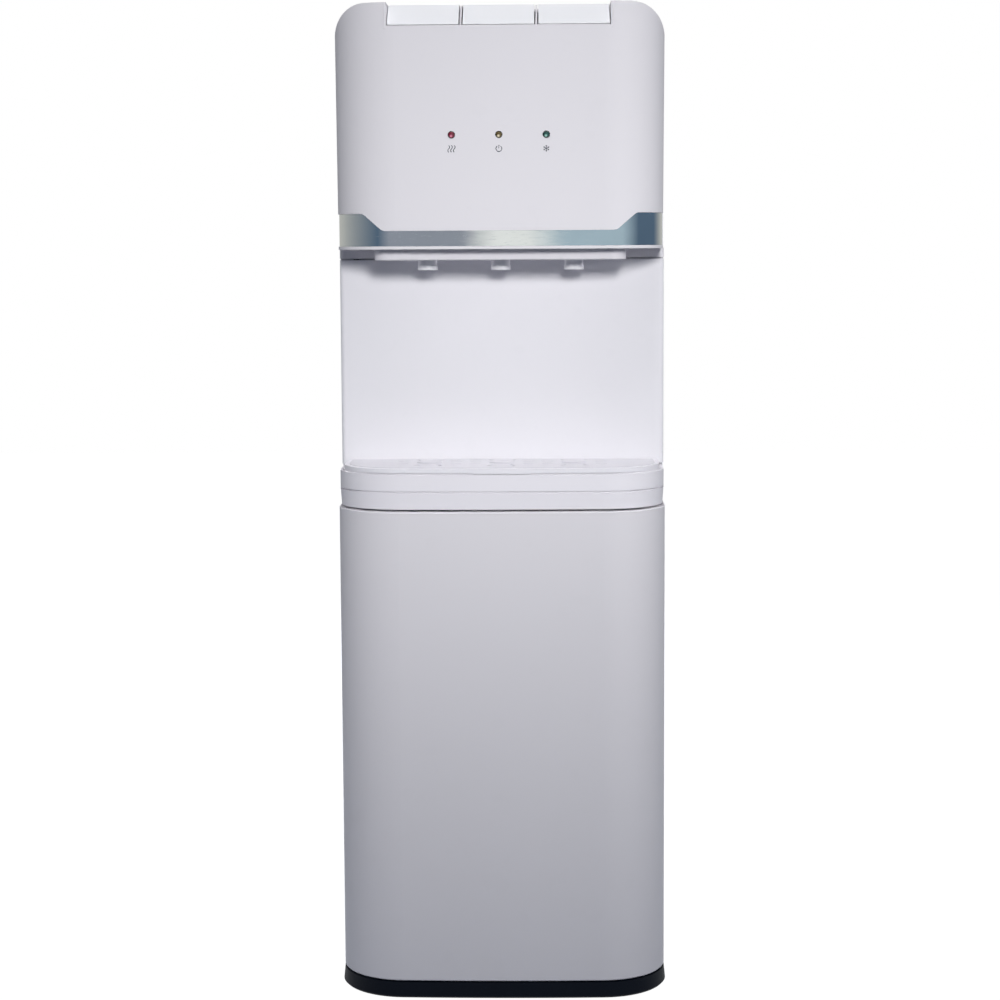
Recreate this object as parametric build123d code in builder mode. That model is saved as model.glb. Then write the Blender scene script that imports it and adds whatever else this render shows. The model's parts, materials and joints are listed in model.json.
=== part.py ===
from build123d import *

import os
from math import cos, radians, sin

os.makedirs("parts", exist_ok=True)

# Bottom-loading water dispenser. Millimetres, +Z up, front towards -Y,
# origin on the floor under the middle of the cabinet.

# Cabinet
WIDTH = 330.0
DEPTH = 350.0
CORNER_RADIUS = 66.0
FRONT_CROWN = 5.0
RECESS_DEPTH = 115.0
SHEET = 1.0
SHEET_FLANGE = 13.0
REAR_SKIRT = 12.0
SHELL = 2.8
FIT = 0.3
SEAT = 0.1

# Stack of heights from the floor up
FOOT_GAP = 3.0
PLINTH_HEIGHT = 16.0
DOOR_FLOOR_GAP = 1.5
DOOR_HEIGHT = 477.0
DOOR_TOP_GAP = 2.0
HOUSING_HEIGHT = 36.0
RECESS_HEIGHT = 220.0
LEDGE = 3.0
BAND_HEIGHT = 32.0
BAND_MIDDLE = 15.0
HEAD_HEIGHT = 234.5

# Plinth and feet
PLINTH_FLARE = 1.5
PLINTH_WALL = 3.0
PLINTH_EDGE = 2.0
RIB = 3.0
FOOT_RADIUS = 15.0
FOOT_STEM = 4.0
FOOT_STEM_LENGTH = 8.0
FOOT_INSET = 34.0
FOOT_FRONT_INSET = 50.0

# Door
DOOR_SKIN = 3.0
DOOR_THICKNESS = 20.0
LINER_SKIN = 2.0
DOOR_SEAM = 3.5
DOOR_EDGE = 3.0
DOOR_BEVEL = 1.0
HINGE_INSET = 11.0
HINGE_SETBACK = 16.0
HINGE_PIN = 3.0
HINGE_PIN_LENGTH = 10.0
HINGE_PLATE = 2.0
HINGE_PLATE_RADIUS = 8.0
HINGE_PLATE_REACH = 26.0
RUNNING = 0.08
MAGNET_LENGTH = 40.0
MAGNET_WIDTH = 8.0
MAGNET_HEIGHT = 4.0
STRIKE = 1.5
MAGNET_X = -70.0

# Bottle bay
BAY_SIDE_GAP = 2.0
BAY_REAR_GAP = 12.0
BAY_CORNER = 18.0
BAY_WALL = 2.0
BOTTLE_GAP = 8.0
PLATFORM_HEIGHT = 9.0
PLATFORM_RIM = 5.0
PLATFORM_FLOOR = 3.0
DECK = 3.0
DECK_DROP = 7.5

# Tray
HOUSING_WALL = 7.5
HOUSING_FLOOR = 6.0
HOUSING_INSET = 1.3
HOUSING_DRAFT = 1.2
GROOVE_HEIGHT = 1.5
GROOVE_DEPTH = 2.0
GROOVE_LEVEL = 16.5
TRAY_WALL = 2.2
TRAY_RIM = 4.4
RIM_FRONT_INSET = 1.8
RIM_SIDE_INSET = 6.0
RIM_GAP = 1.3
RIM_GAP_DEPTH = 2.8
TRAY_LEDGE = 4.0
PULL_HALF = 28.0
PULL_DEPTH = 2.0
GRILLE = 2.5
GRILLE_PROUD = 0.4
SLOT_WIDTH = 3.2
SLOT_LENGTH = 13.0
SLOT_COUNT = 8
MEDALLION = 13.0
MEDALLION_RISE = 1.6
MEDALLION_TAPER = 30.0

# Head
HEAD_INSET = 1.3
HEAD_DRAFT = 1.3
SHOULDER = 33.0
BAND_GAP = 0.3
BAND_SKIN = 2.0
SKIRT_HALF = 134.2
SKIRT_FOOT = 114.5
SKIRT_ROUND = 9.0
NECK = 9.5
SPLASH = 6.0
SPLASH_EDGE = 5.0
SPLASH_PROUD = 0.8
SPLASH_SEAM = 1.2
SPOUT_HALF = 124.5
SPOUT_HEIGHT = 10.8
SPOUT_SETBACK = 22.0
SPOUT_CORNER = 16.0
SPOUT_WALL = 2.2

# Taps
TAP_PITCH = 73.3
TAP_SETBACK = 65.0
NOZZLE_RADIUS = 9.25
NOZZLE_COLLAR = 9.7
NOZZLE_COLLAR_HEIGHT = 4.0
NOZZLE_DROP = 20.6
NOZZLE_BORE = 7.5
TAP_FLANGE = 17.0
TAP_FLANGE_HEIGHT = 3.0
TAP_RADIUS = 14.0
TAP_HEIGHT = 34.0
TAP_CHAMBER = 10.0
TAP_SEAT = 5.5
TAP_SEAT_HEIGHT = 4.0
TAP_INLET_RISE = 25.0
TAP_INLET_REACH = 14.0
STUB_RADIUS = 4.0
STUB_BORE = 2.5
POPPET_RADIUS = 6.7
POPPET_HEIGHT = 3.0
ROD_RADIUS = 3.0

# Keys
KEY_GAP = 4.0
KEY_HEIGHT = 21.5
KEY_SLOPE = 31.0
KEY_BACK = 80.5
KEY_WALL = 2.2
KEY_CLEARANCE = 1.2
KEY_EDGE = 1.0
KEY_SIDE_CLEARANCE = 0.8
DIVIDER = 1.8
DIVIDER_DROP = 0.6
POCKET_WALL = 2.0
PIVOT_SETBACK = 93.5
PIVOT_DROP = 16.0
PIVOT_RADIUS = 2.5
LUG_RADIUS = 6.0
LUG = 3.0
PLUNGER_RADIUS = 6.0
PLUNGER_DROP = 27.0
FRAME_DROP = 52.0
FRAME_PLATE = 3.0
FRAME_DEPTH = 56.0
FRAME_LEDGE = 8.0
EAR = 2.4

# Indicators
LAMP_PITCH = 46.0
LAMP_LEVEL = 127.2
LAMP_RADIUS = 3.0
LAMP_PROUD = 0.8
BOARD = 1.6
BOARD_LENGTH = 130.0
BOARD_HEIGHT = 22.0
BOARD_SETBACK = 9.0
POST_RADIUS = 4.0
POST_SPAN = 110.0

# Water system
SHELF = 2.0
SHELF_DROP = 3.5
TANK_SIDE_GAP = 73.0
TANK_SETBACK = 42.5
TANK_HEIGHT = 173.0
TANK_SKIN = 2.0
TANK_CORNER = 14.0
FOAM = 18.0
HOSE_RADIUS = 5.5
HOSE_BORE = 4.1
HOSE_BEND = 14.0
HOT_RADIUS = 55.0
HOT_HEADROOM = 44.0
HOT_REAR_GAP = 124.0
HOT_FOOT = 20.0
HOT_EDGE = 8.0
HOT_SKIRT_INSET = 12.0
HOT_OUTLET_INSET = 20.0
HOT_FEED_RISE = 24.0
PUMP_INSET = 45.0
PUMP_REAR_GAP = 100.0
PUMP_WIDTH = 60.0
PUMP_DEPTH = 55.0
PUMP_HEIGHT = 57.0
PUMP_BASE = 10.0
MOTOR_RADIUS = 18.0
MOTOR_LENGTH = 55.0
STUB_LENGTH = 14.0
FILL_OFFSET = 21.0
FILL_DROP = 40.0
BLOCK_HALF = 30.0
BLOCK_DEPTH = 20.0
MODULE_HALF = 20.0
MODULE = 4.0
SINK_HALF = 48.0
SINK_BASE = 5.0
SINK_FIN = 26.0
FIN = 1.6
FIN_COUNT = 13
FAN_HALF = 46.0
FAN_DEPTH = 15.0
FAN_BORE = 43.0
FAN_HUB = 17.0
FAN_BLADES = 7
FAN_GAP = 1.9
FAN_STRUT = 2.4
FAN_SPINDLE = 2.5
COOLER_RISE = 108.0

# Bottle probe
PROBE_INSET = 30.0
PROBE_REAR_GAP = 33.0
PROBE_RADIUS = 8.0
PROBE_FOOT = 41.0
PROBE_CAP_RADIUS = 26.0
PROBE_CAP_HEIGHT = 14.0
PROBE_DROP = 35.0
HOLDER_DROP = 50.0
HOLDER_HEIGHT = 18.0
HOLDER_WALL = 2.5
SUCTION_RISE = 32.0

# Control board
CONTROL_STAND_OFF = 12.0
CONTROL_REAR_GAP = 52.0
CONTROL_RISE = 97.0
CONTROL_DEPTH = 80.0
CONTROL_HEIGHT = 130.0
RELAY_HEIGHT = 16.0

# Back of the cabinet
SWITCH_INSET = 75.0
SWITCH_RISE = 172.0
SWITCH_WIDTH = 52.0
SWITCH_HEIGHT = 30.0
SWITCH_BEZEL = 2.0
SWITCH_DEPTH = 20.0
ROCKER_WIDTH = 18.0
ROCKER_HEIGHT = 22.0
ROCKER_THICKNESS = 9.0
ROCKER_TILT = 8.0
ROCKER_PIN = 1.5
BUSH_RISE = 32.0
BUSH_RADIUS = 7.0
BUSH_FLANGE = 10.0
BUSH_BORE = 3.9
BUSH_LENGTH = 22.0
SCREW_HEAD = 4.0
SCREW_SHANK = 1.9
SCREW_LENGTH = 8.0
SCREW_HEAD_HEIGHT = 2.0
SCREW_ROWS = 5
VENT_WIDTH = 4.0
VENT_LENGTH = 70.0
VENT_PITCH = 11.0
VENT_COUNT = 10
FAN_VENT_COUNT = 8
VENT_INSET = 105.0

# Planes and levels worked out from the sizes above
HALF = WIDTH / 2
BACK = DEPTH / 2
FRONT = -DEPTH / 2 + PLINTH_FLARE
SEAM = FRONT + RECESS_DEPTH
PANEL_BACK = BACK - REAR_SKIRT - SHEET
PLINTH_TOP = FOOT_GAP + PLINTH_HEIGHT
DOOR_BOTTOM = PLINTH_TOP + DOOR_FLOOR_GAP
DOOR_TOP = DOOR_BOTTOM + DOOR_HEIGHT
DOOR_BACK = SEAM - DOOR_SEAM
HOUSING_BOTTOM = DOOR_TOP + DOOR_TOP_GAP
HOUSING_TOP = HOUSING_BOTTOM + HOUSING_HEIGHT
LEDGE_BOTTOM = HOUSING_TOP + RECESS_HEIGHT
LEDGE_TOP = LEDGE_BOTTOM + LEDGE
SKIRT_MIDDLE = LEDGE_TOP + BAND_MIDDLE
SKIRT_SIDE = LEDGE_TOP + BAND_HEIGHT
HEAD_TOP = LEDGE_TOP + HEAD_HEIGHT
SIDE_TOP = HEAD_TOP - SHOULDER
HEAD_FOOT_INSET = HEAD_INSET + HEAD_DRAFT
SPLASH_TOP = LEDGE_BOTTOM - NECK - SPLASH_SEAM
DECK_TOP = HOUSING_TOP - DECK_DROP
BAY_HALF = HALF - SHEET_FLANGE - BAY_SIDE_GAP
BAY_BACK = PANEL_BACK - BAY_REAR_GAP
BAY_FRONT = FRONT + DOOR_THICKNESS
BOTTLE_ROOM = min(BAY_HALF - BAY_WALL, (BAY_BACK - BAY_WALL - BAY_FRONT) / 2)
BOTTLE_RADIUS = BOTTLE_ROOM - PLATFORM_RIM - BOTTLE_GAP
BOTTLE_Y = (BAY_BACK - BAY_WALL + BAY_FRONT) / 2
HINGE_X = HALF - HINGE_INSET
HINGE_Y = DOOR_BACK - HINGE_SETBACK
TAP_Y = FRONT + TAP_SETBACK
TAP_XS = {"hot": -TAP_PITCH, "room": 0.0, "cold": TAP_PITCH}
KEY_WIDTH = TAP_PITCH - KEY_GAP
KEYS_HALF = 1.5 * TAP_PITCH - KEY_GAP / 2
KEY_BOTTOM = HEAD_TOP - KEY_HEIGHT
KEY_FRONT = FRONT + SHELL + KEY_CLEARANCE
KEY_REAR = FRONT + KEY_BACK
ROOF_EDGE = KEY_REAR + KEY_CLEARANCE
PIVOT_Y = FRONT + PIVOT_SETBACK
PIVOT_Z = HEAD_TOP - PIVOT_DROP
PLUNGER_BOTTOM = HEAD_TOP - PLUNGER_DROP
FRAME_LEVEL = HEAD_TOP - FRAME_DROP
TAP_TOP = LEDGE_TOP + TAP_HEIGHT
SEAT_LEVEL = LEDGE_TOP + TAP_FLANGE_HEIGHT
INLET_LEVEL = LEDGE_TOP + TAP_INLET_RISE
SHELF_LEVEL = LEDGE_BOTTOM - SHELF_DROP
TANK_HALF = HALF - TANK_SIDE_GAP
TANK_FRONT = SEAM + TANK_SETBACK
FAN_BACK = PANEL_BACK - FAN_GAP
FAN_FRONT = FAN_BACK - FAN_DEPTH
SINK_BACK = FAN_FRONT - SEAT
SINK_FRONT = SINK_BACK - SINK_FIN - SINK_BASE
BLOCK_BACK = SINK_FRONT - MODULE
TANK_BACK = BLOCK_BACK - BLOCK_DEPTH
TANK_BOTTOM = SHELF_LEVEL + SHELF + FOAM
COOLER_LEVEL = SHELF_LEVEL + COOLER_RISE
FOAM_BACK = TANK_BACK + FOAM
HOT_BOTTOM = DECK_TOP + HOT_FOOT
HOT_TOP = SHELF_LEVEL - HOT_HEADROOM
HOT_X = -TAP_PITCH
HOT_Y = PANEL_BACK - HOT_REAR_GAP
FEED_X = HOT_X + HOT_RADIUS + STUB_LENGTH + HOSE_BEND + FIT
PUMP_X = HALF - PUMP_INSET
PUMP_Y = PANEL_BACK - PUMP_REAR_GAP
FILL_X = PUMP_X + FILL_OFFSET
SUCTION_LEVEL = DECK_TOP + SUCTION_RISE
PUMP_TOP = DECK_TOP + PUMP_BASE + PUMP_HEIGHT
FILL_LEVEL = TANK_BOTTOM + TANK_HEIGHT - FILL_DROP
PROBE_X = -BAY_HALF + PROBE_INSET
PROBE_Y = BAY_BACK - PROBE_REAR_GAP
PROBE_TOP = DECK_TOP - DECK - PROBE_DROP
PROBE_BOTTOM = PLINTH_TOP + PROBE_FOOT
HOLDER_LEVEL = PROBE_TOP - HOLDER_DROP
CONTROL_X = -HALF + SHEET + CONTROL_STAND_OFF
CONTROL_Y = PANEL_BACK - CONTROL_REAR_GAP
CONTROL_LEVEL = DECK_TOP + CONTROL_RISE
SWITCH_X = -HALF + SWITCH_INSET
SWITCH_LEVEL = DECK_TOP + SWITCH_RISE
BUSH_LEVEL = DECK_TOP + BUSH_RISE
VENT_X = HALF - VENT_INSET
LAMP_Z = HEAD_TOP - LAMP_LEVEL
LAMP_XS = {"hot": -LAMP_PITCH, "power": 0.0, "cold": LAMP_PITCH}
TRAY_BOTTOM = HOUSING_BOTTOM + HOUSING_FLOOR + SEAT
RIM_BOTTOM = HOUSING_TOP + SEAT
RIM_TOP = RIM_BOTTOM + TRAY_RIM
SCREW_X = HALF - SHEET_FLANGE / 2
SCREW_PITCH = (SIDE_TOP - PLINTH_TOP) / SCREW_ROWS
MIDDLE_LEVEL = (PLINTH_TOP + SIDE_TOP) / 2


def draw_plan(inset, back, front_inset=None, corner=None):
    """Outline of the cabinet from above: bowed front, rounded front corners, square back."""
    half = HALF - inset
    front = FRONT + (inset if front_inset is None else front_inset)
    with BuildLine() as rim:
        ThreePointArc((-half, front + FRONT_CROWN), (0, front), (half, front + FRONT_CROWN))
        Polyline((half, front + FRONT_CROWN), (half, back), (-half, back), (-half, front + FRONT_CROWN))
        fillet(rim.vertices().group_by(Axis.Y)[0], corner or CORNER_RADIUS - inset)
    make_face(rim.edges())


def draw_elevation(inset, bottom):
    """Outline of the head from the front: straight sides and rounded shoulders."""
    half = HALF - HEAD_INSET - inset
    top = HEAD_TOP - inset
    with BuildLine() as rim:
        Polyline((-half, bottom), (half, bottom), (half, top), (-half, top), close=True)
        fillet(rim.vertices().group_by(Axis.Y)[-1], SHOULDER - inset)
    make_face(rim.edges())


def loft_head(inset, bottom, back):
    """Body of the head inside the part that is being built: its sides lean in towards the bottom."""
    with BuildSketch(Plane.XY.offset(bottom)) as foot:
        draw_plan(HEAD_FOOT_INSET + inset, back, inset)
    with BuildSketch(Plane.XY.offset(HEAD_TOP)) as roof:
        draw_plan(HEAD_INSET + inset, back, inset)
    loft([foot.sketch, roof.sketch], ruled=True)


def draw_splash():
    """Outline from above of the panel behind the recess, with rounded front corners."""
    half = HALF + SPLASH_PROUD
    back = SEAM - SEAT
    with BuildLine() as rim:
        Polyline((-half, back), (-half, SEAM - SPLASH), (half, SEAM - SPLASH), (half, back), close=True)
        fillet(rim.vertices().group_by(Axis.Y)[0], SPLASH_EDGE)
    make_face(rim.edges())


def draw_box(x_low, x_high, y_low, y_high, mode=Mode.ADD):
    """Rectangle between two pairs of bounds in the sketch's own plane."""
    with Locations(((x_low + x_high) / 2, (y_low + y_high) / 2)):
        Rectangle(x_high - x_low, y_high - y_low, mode=mode)


def save(name, piece):
    piece.label = name
    export_step(piece, f"parts/{name}.step")


# Base plinth: flared black moulding, hollow underneath, with ribs and foot bosses
FEET_X = HALF - FOOT_INSET
FEET = [
    (side * FEET_X, y)
    for side in (-1, 1)
    for y in (FRONT + FOOT_FRONT_INSET, BACK - FOOT_INSET)
]
with BuildPart() as base_plinth:
    with BuildSketch(Plane.XY.offset(FOOT_GAP)):
        draw_plan(PLINTH_EDGE - PLINTH_FLARE, BACK)
    with BuildSketch(Plane.XY.offset(FOOT_GAP + PLINTH_EDGE)):
        draw_plan(-PLINTH_FLARE, BACK)
    with BuildSketch(Plane.XY.offset(PLINTH_TOP)):
        draw_plan(0, BACK)
    loft(ruled=True)
    with BuildSketch(Plane.XY.offset(FOOT_GAP)):
        draw_plan(PLINTH_WALL, BACK - PLINTH_WALL)
    extrude(amount=PLINTH_HEIGHT - PLINTH_WALL, mode=Mode.SUBTRACT)
    with BuildSketch(Plane.XY.offset(FOOT_GAP + SHEET)):
        with Locations(*FEET):
            Circle(FOOT_RADIUS)
        with GridLocations(WIDTH / 4, 1, 3, 1):
            Rectangle(RIB, DEPTH - 2 * PLINTH_WALL)
        with GridLocations(1, DEPTH / 4, 1, 3):
            Rectangle(WIDTH - 2 * PLINTH_WALL, RIB)
    extrude(amount=PLINTH_HEIGHT - SHEET - PLINTH_WALL / 2)
    with BuildSketch(Plane.XY.offset(FOOT_GAP + SHEET)):
        with Locations(*FEET):
            Circle(FOOT_STEM + SEAT)
    extrude(amount=FOOT_STEM_LENGTH + SEAT, mode=Mode.SUBTRACT)
    with BuildSketch(Plane.XY.offset(PLINTH_TOP)):
        with Locations((HINGE_X - HINGE_PLATE_REACH / 2 + HINGE_PLATE_RADIUS, HINGE_Y)):
            SlotOverall(HINGE_PLATE_REACH + 2 * SEAT, 2 * (HINGE_PLATE_RADIUS + SEAT))
    extrude(amount=-HINGE_PLATE, mode=Mode.SUBTRACT)
save("base_plinth", base_plinth.part)

# Rubber feet pressed into the plinth's bosses
with BuildPart() as rubber_feet:
    with BuildSketch(Plane.XY):
        with Locations(*FEET):
            Circle(FOOT_RADIUS)
    extrude(amount=FOOT_GAP + SHEET)
    chamfer(rubber_feet.faces().group_by(Axis.Z)[0].edges(), SHEET)
    with BuildSketch(Plane.XY.offset(FOOT_GAP + SHEET)):
        with Locations(*FEET):
            Circle(FOOT_STEM)
    extrude(amount=FOOT_STEM_LENGTH)
save("rubber_feet", rubber_feet.part)

# Side panels: folded sheet steel with a front flange and a rear flange set in from the skirt
with BuildPart() as side_panel_right:
    with BuildSketch(Plane.XY.offset(PLINTH_TOP)):
        draw_box(HALF - SHEET, HALF, SEAM, BACK)
        draw_box(HALF - SHEET_FLANGE, HALF, SEAM, SEAM + SHEET)
        draw_box(HALF - SHEET_FLANGE, HALF, PANEL_BACK, PANEL_BACK + SHEET)
    extrude(amount=SIDE_TOP - PLINTH_TOP)
    with BuildSketch(Plane.XZ.offset(-PANEL_BACK)):
        with Locations((SCREW_X, MIDDLE_LEVEL)):
            with GridLocations(1, SCREW_PITCH, 1, SCREW_ROWS):
                Circle(SCREW_SHANK + SEAT)
    extrude(amount=-SHEET, mode=Mode.SUBTRACT)
save("side_panel_right", side_panel_right.part)

with BuildPart() as side_panel_left:
    add(side_panel_right.part.mirror(Plane.YZ))
save("side_panel_left", side_panel_left.part)

# Back panel: sheet with louvre slots, a fan window and holes for the switches, cord bush and screws
PANEL_HALF = HALF - SHEET - FIT
BACK_FACE = Plane.XZ.offset(-PANEL_BACK)
with BuildPart() as back_panel:
    with BuildSketch(BACK_FACE):
        draw_box(-PANEL_HALF, PANEL_HALF, PLINTH_TOP, SIDE_TOP)
        with Locations((0, MIDDLE_LEVEL)):
            with GridLocations(2 * SCREW_X, SCREW_PITCH, 2, SCREW_ROWS):
                Circle(SCREW_SHANK + SEAT, mode=Mode.SUBTRACT)
        with Locations((SWITCH_X, SWITCH_LEVEL)):
            Rectangle(SWITCH_WIDTH + FIT, SWITCH_HEIGHT + FIT, mode=Mode.SUBTRACT)
        with Locations((SWITCH_X, BUSH_LEVEL)):
            Circle(BUSH_RADIUS + SEAT, mode=Mode.SUBTRACT)
        with Locations((0, COOLER_LEVEL)):
            with GridLocations(1, VENT_PITCH, 1, FAN_VENT_COUNT):
                SlotOverall(VENT_LENGTH, VENT_WIDTH, mode=Mode.SUBTRACT)
        with Locations((VENT_X, (DECK_TOP + SHELF_LEVEL) / 2)):
            with GridLocations(1, VENT_PITCH, 1, VENT_COUNT):
                SlotOverall(VENT_LENGTH, VENT_WIDTH, mode=Mode.SUBTRACT)
    extrude(amount=SHEET)
save("back_panel", back_panel.part)

with BuildPart() as panel_screws:
    with BuildSketch(Plane.XZ.offset(-PANEL_BACK - SHEET)):
        with Locations((0, MIDDLE_LEVEL)):
            with GridLocations(2 * SCREW_X, SCREW_PITCH, 2, SCREW_ROWS):
                Circle(SCREW_HEAD)
    extrude(amount=-SCREW_HEAD_HEIGHT)
    chamfer(panel_screws.faces().group_by(Axis.Y)[-1].edges(), SCREW_HEAD_HEIGHT / 2)
    with BuildSketch(Plane.XZ.offset(-PANEL_BACK - SHEET)):
        with Locations((0, MIDDLE_LEVEL)):
            with GridLocations(2 * SCREW_X, SCREW_PITCH, 2, SCREW_ROWS):
                Circle(SCREW_SHANK)
    extrude(amount=SCREW_LENGTH)
save("panel_screws", panel_screws.part)

# Top cover: the head's section carried back over the cabinet, open underneath
with BuildPart() as top_cover:
    with BuildSketch(Plane.XZ.offset(-BACK)):
        draw_elevation(0, SIDE_TOP)
    extrude(amount=BACK - SEAM - SEAT)
    with BuildSketch(Plane.XZ.offset(-BACK + SHELL)):
        draw_elevation(SHELL, SIDE_TOP - SHELL)
    extrude(amount=BACK - SEAM, mode=Mode.SUBTRACT)
    rear_face = top_cover.faces().sort_by(Axis.Y)[-1]
    fillet(rear_face.edges().filter_by(lambda edge: edge.center().Z > SIDE_TOP + 1), SHELL / 2)
save("top_cover", top_cover.part)

# Head front: shell of the bowed plan and the shouldered elevation, with the dipped lower edge,
# the key pocket with its walls and dividers, the lamp holes, board posts and frame ledges
with BuildPart() as head_cavity:
    loft_head(SHELL, LEDGE_TOP, SEAM + SHELL)
    with BuildSketch(Plane.XZ):
        draw_elevation(SHELL, LEDGE_BOTTOM)
    extrude(amount=DEPTH, both=True, mode=Mode.INTERSECT)

POCKET_HALF = KEYS_HALF + KEY_SIDE_CLEARANCE
POCKET_FLOOR = KEY_BOTTOM - KEY_SIDE_CLEARANCE
BOARD_FRONT = FRONT + BOARD_SETBACK
INNER_HALF = HALF - HEAD_FOOT_INSET - SHELL
FRAME_FRONT = PIVOT_Y - FRAME_DEPTH + LUG_RADIUS
FRAME_BACK = PIVOT_Y + LUG_RADIUS
with BuildPart() as head_front:
    loft_head(0, SKIRT_MIDDLE, SEAM - SEAT)
    with BuildSketch(Plane.XZ):
        draw_elevation(0, LEDGE_BOTTOM)
    extrude(amount=DEPTH, both=True, mode=Mode.INTERSECT)
    add(head_cavity.part, mode=Mode.SUBTRACT)
    # pocket for the keys, open at the front edge
    with BuildSketch(Plane.XY.offset(POCKET_FLOOR)):
        draw_box(-POCKET_HALF, POCKET_HALF, FRONT - SHELL, ROOF_EDGE)
    extrude(amount=HEAD_TOP, mode=Mode.SUBTRACT)
    # pocket walls and dividers follow the keys' side profile
    for x in (-POCKET_HALF - POCKET_WALL, POCKET_HALF):
        with BuildSketch(Plane.YZ.offset(x)):
            draw_box(KEY_FRONT - SHELL / 2, ROOF_EDGE + SHELL, POCKET_FLOOR - SHELL, HEAD_TOP - SHELL / 2)
        extrude(amount=POCKET_WALL)
    for x in (-TAP_PITCH / 2, TAP_PITCH / 2):
        with BuildSketch(Plane.YZ.offset(x)):
            with BuildLine():
                Polyline(
                    (KEY_FRONT - SHELL, POCKET_FLOOR - SHELL),
                    (KEY_FRONT - SHELL, POCKET_FLOOR),
                    (KEY_FRONT - KEY_CLEARANCE / 2, KEY_BOTTOM - DIVIDER_DROP),
                    (KEY_FRONT + KEY_SLOPE, HEAD_TOP - DIVIDER_DROP),
                    (ROOF_EDGE + SHELL, HEAD_TOP - DIVIDER_DROP),
                    (ROOF_EDGE + SHELL, HEAD_TOP - SHELL),
                    (ROOF_EDGE, POCKET_FLOOR - SHELL),
                    close=True,
                )
            make_face()
        extrude(amount=DIVIDER / 2, both=True)
    # lower edge that dips in the middle
    with BuildSketch(Plane.XZ.offset(-SEAM)):
        with BuildLine() as skirt_line:
            Polyline(
                (-WIDTH, LEDGE_BOTTOM),
                (-WIDTH, SKIRT_SIDE),
                (-SKIRT_HALF, SKIRT_SIDE),
                (-SKIRT_FOOT, SKIRT_MIDDLE),
                (SKIRT_FOOT, SKIRT_MIDDLE),
                (SKIRT_HALF, SKIRT_SIDE),
                (WIDTH, SKIRT_SIDE),
                (WIDTH, LEDGE_BOTTOM),
                close=True,
            )
            bends = skirt_line.vertices().filter_by(lambda v: SKIRT_FOOT - 1 < abs(v.X) < SKIRT_HALF + 1)
            fillet(bends, SKIRT_ROUND)
        make_face(skirt_line.edges())
    extrude(amount=DEPTH, mode=Mode.SUBTRACT)
    # posts that carry the indicator board
    with BuildSketch(Plane.XZ.offset(-BOARD_FRONT)):
        with Locations((0, LAMP_Z)):
            with GridLocations(POST_SPAN, 1, 2, 1):
                Circle(POST_RADIUS)
    extrude(amount=BOARD_SETBACK - SHELL / 2)
    # ledges under the ends of the key frame
    for side in (-1, 1):
        with BuildSketch(Plane.XY.offset(FRAME_LEVEL - FRAME_PLATE)):
            draw_box(
                min(side * (INNER_HALF - FRAME_LEDGE), side * (INNER_HALF + SHELL / 2)),
                max(side * (INNER_HALF - FRAME_LEDGE), side * (INNER_HALF + SHELL / 2)),
                PIVOT_Y - LUG_RADIUS,
                FRAME_BACK,
            )
        extrude(amount=FRAME_PLATE)
    # lamp holes
    with BuildSketch(Plane.XZ.offset(-FRONT + SHELL)):
        with Locations(*[(x, LAMP_Z) for x in LAMP_XS.values()]):
            Circle(LAMP_RADIUS + SEAT)
    extrude(amount=-SHELL - BOARD_SETBACK, mode=Mode.SUBTRACT)
save("head_front", head_front.part)

# Chrome band behind the dip of the head's lower edge, flush with it at the sides
BAND_INSET = SHELL + BAND_GAP
with BuildPart() as chrome_band:
    with BuildSketch(Plane.XY.offset(LEDGE_TOP + SEAT)):
        draw_plan(BAND_INSET, SEAM - SEAT, corner=CORNER_RADIUS)
        with BuildSketch(mode=Mode.PRIVATE) as band_inside:
            draw_plan(BAND_INSET + BAND_SKIN, SEAM + SHELL, corner=CORNER_RADIUS - BAND_SKIN)
        add(band_inside.sketch, mode=Mode.SUBTRACT)
    extrude(amount=BAND_HEIGHT - 2 * SEAT)
save("chrome_band", chrome_band.part)

# Head floor: the thin ledge under the band with the neck strip above the splash panel
with BuildPart() as head_floor:
    with BuildSketch(Plane.XY.offset(LEDGE_BOTTOM)):
        draw_plan(HEAD_FOOT_INSET, SEAM - SEAT, FIT)
    extrude(amount=LEDGE)
    with BuildSketch(Plane.XY.offset(LEDGE_BOTTOM - NECK)):
        draw_splash()
    extrude(amount=NECK)
    with BuildSketch(Plane.XY.offset(LEDGE_BOTTOM)):
        with GridLocations(TAP_PITCH, 1, 3, 1):
            with Locations((0, TAP_Y)):
                Circle(NOZZLE_RADIUS + FIT)
    extrude(amount=LEDGE, mode=Mode.SUBTRACT)
save("head_floor", head_floor.part)

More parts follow.
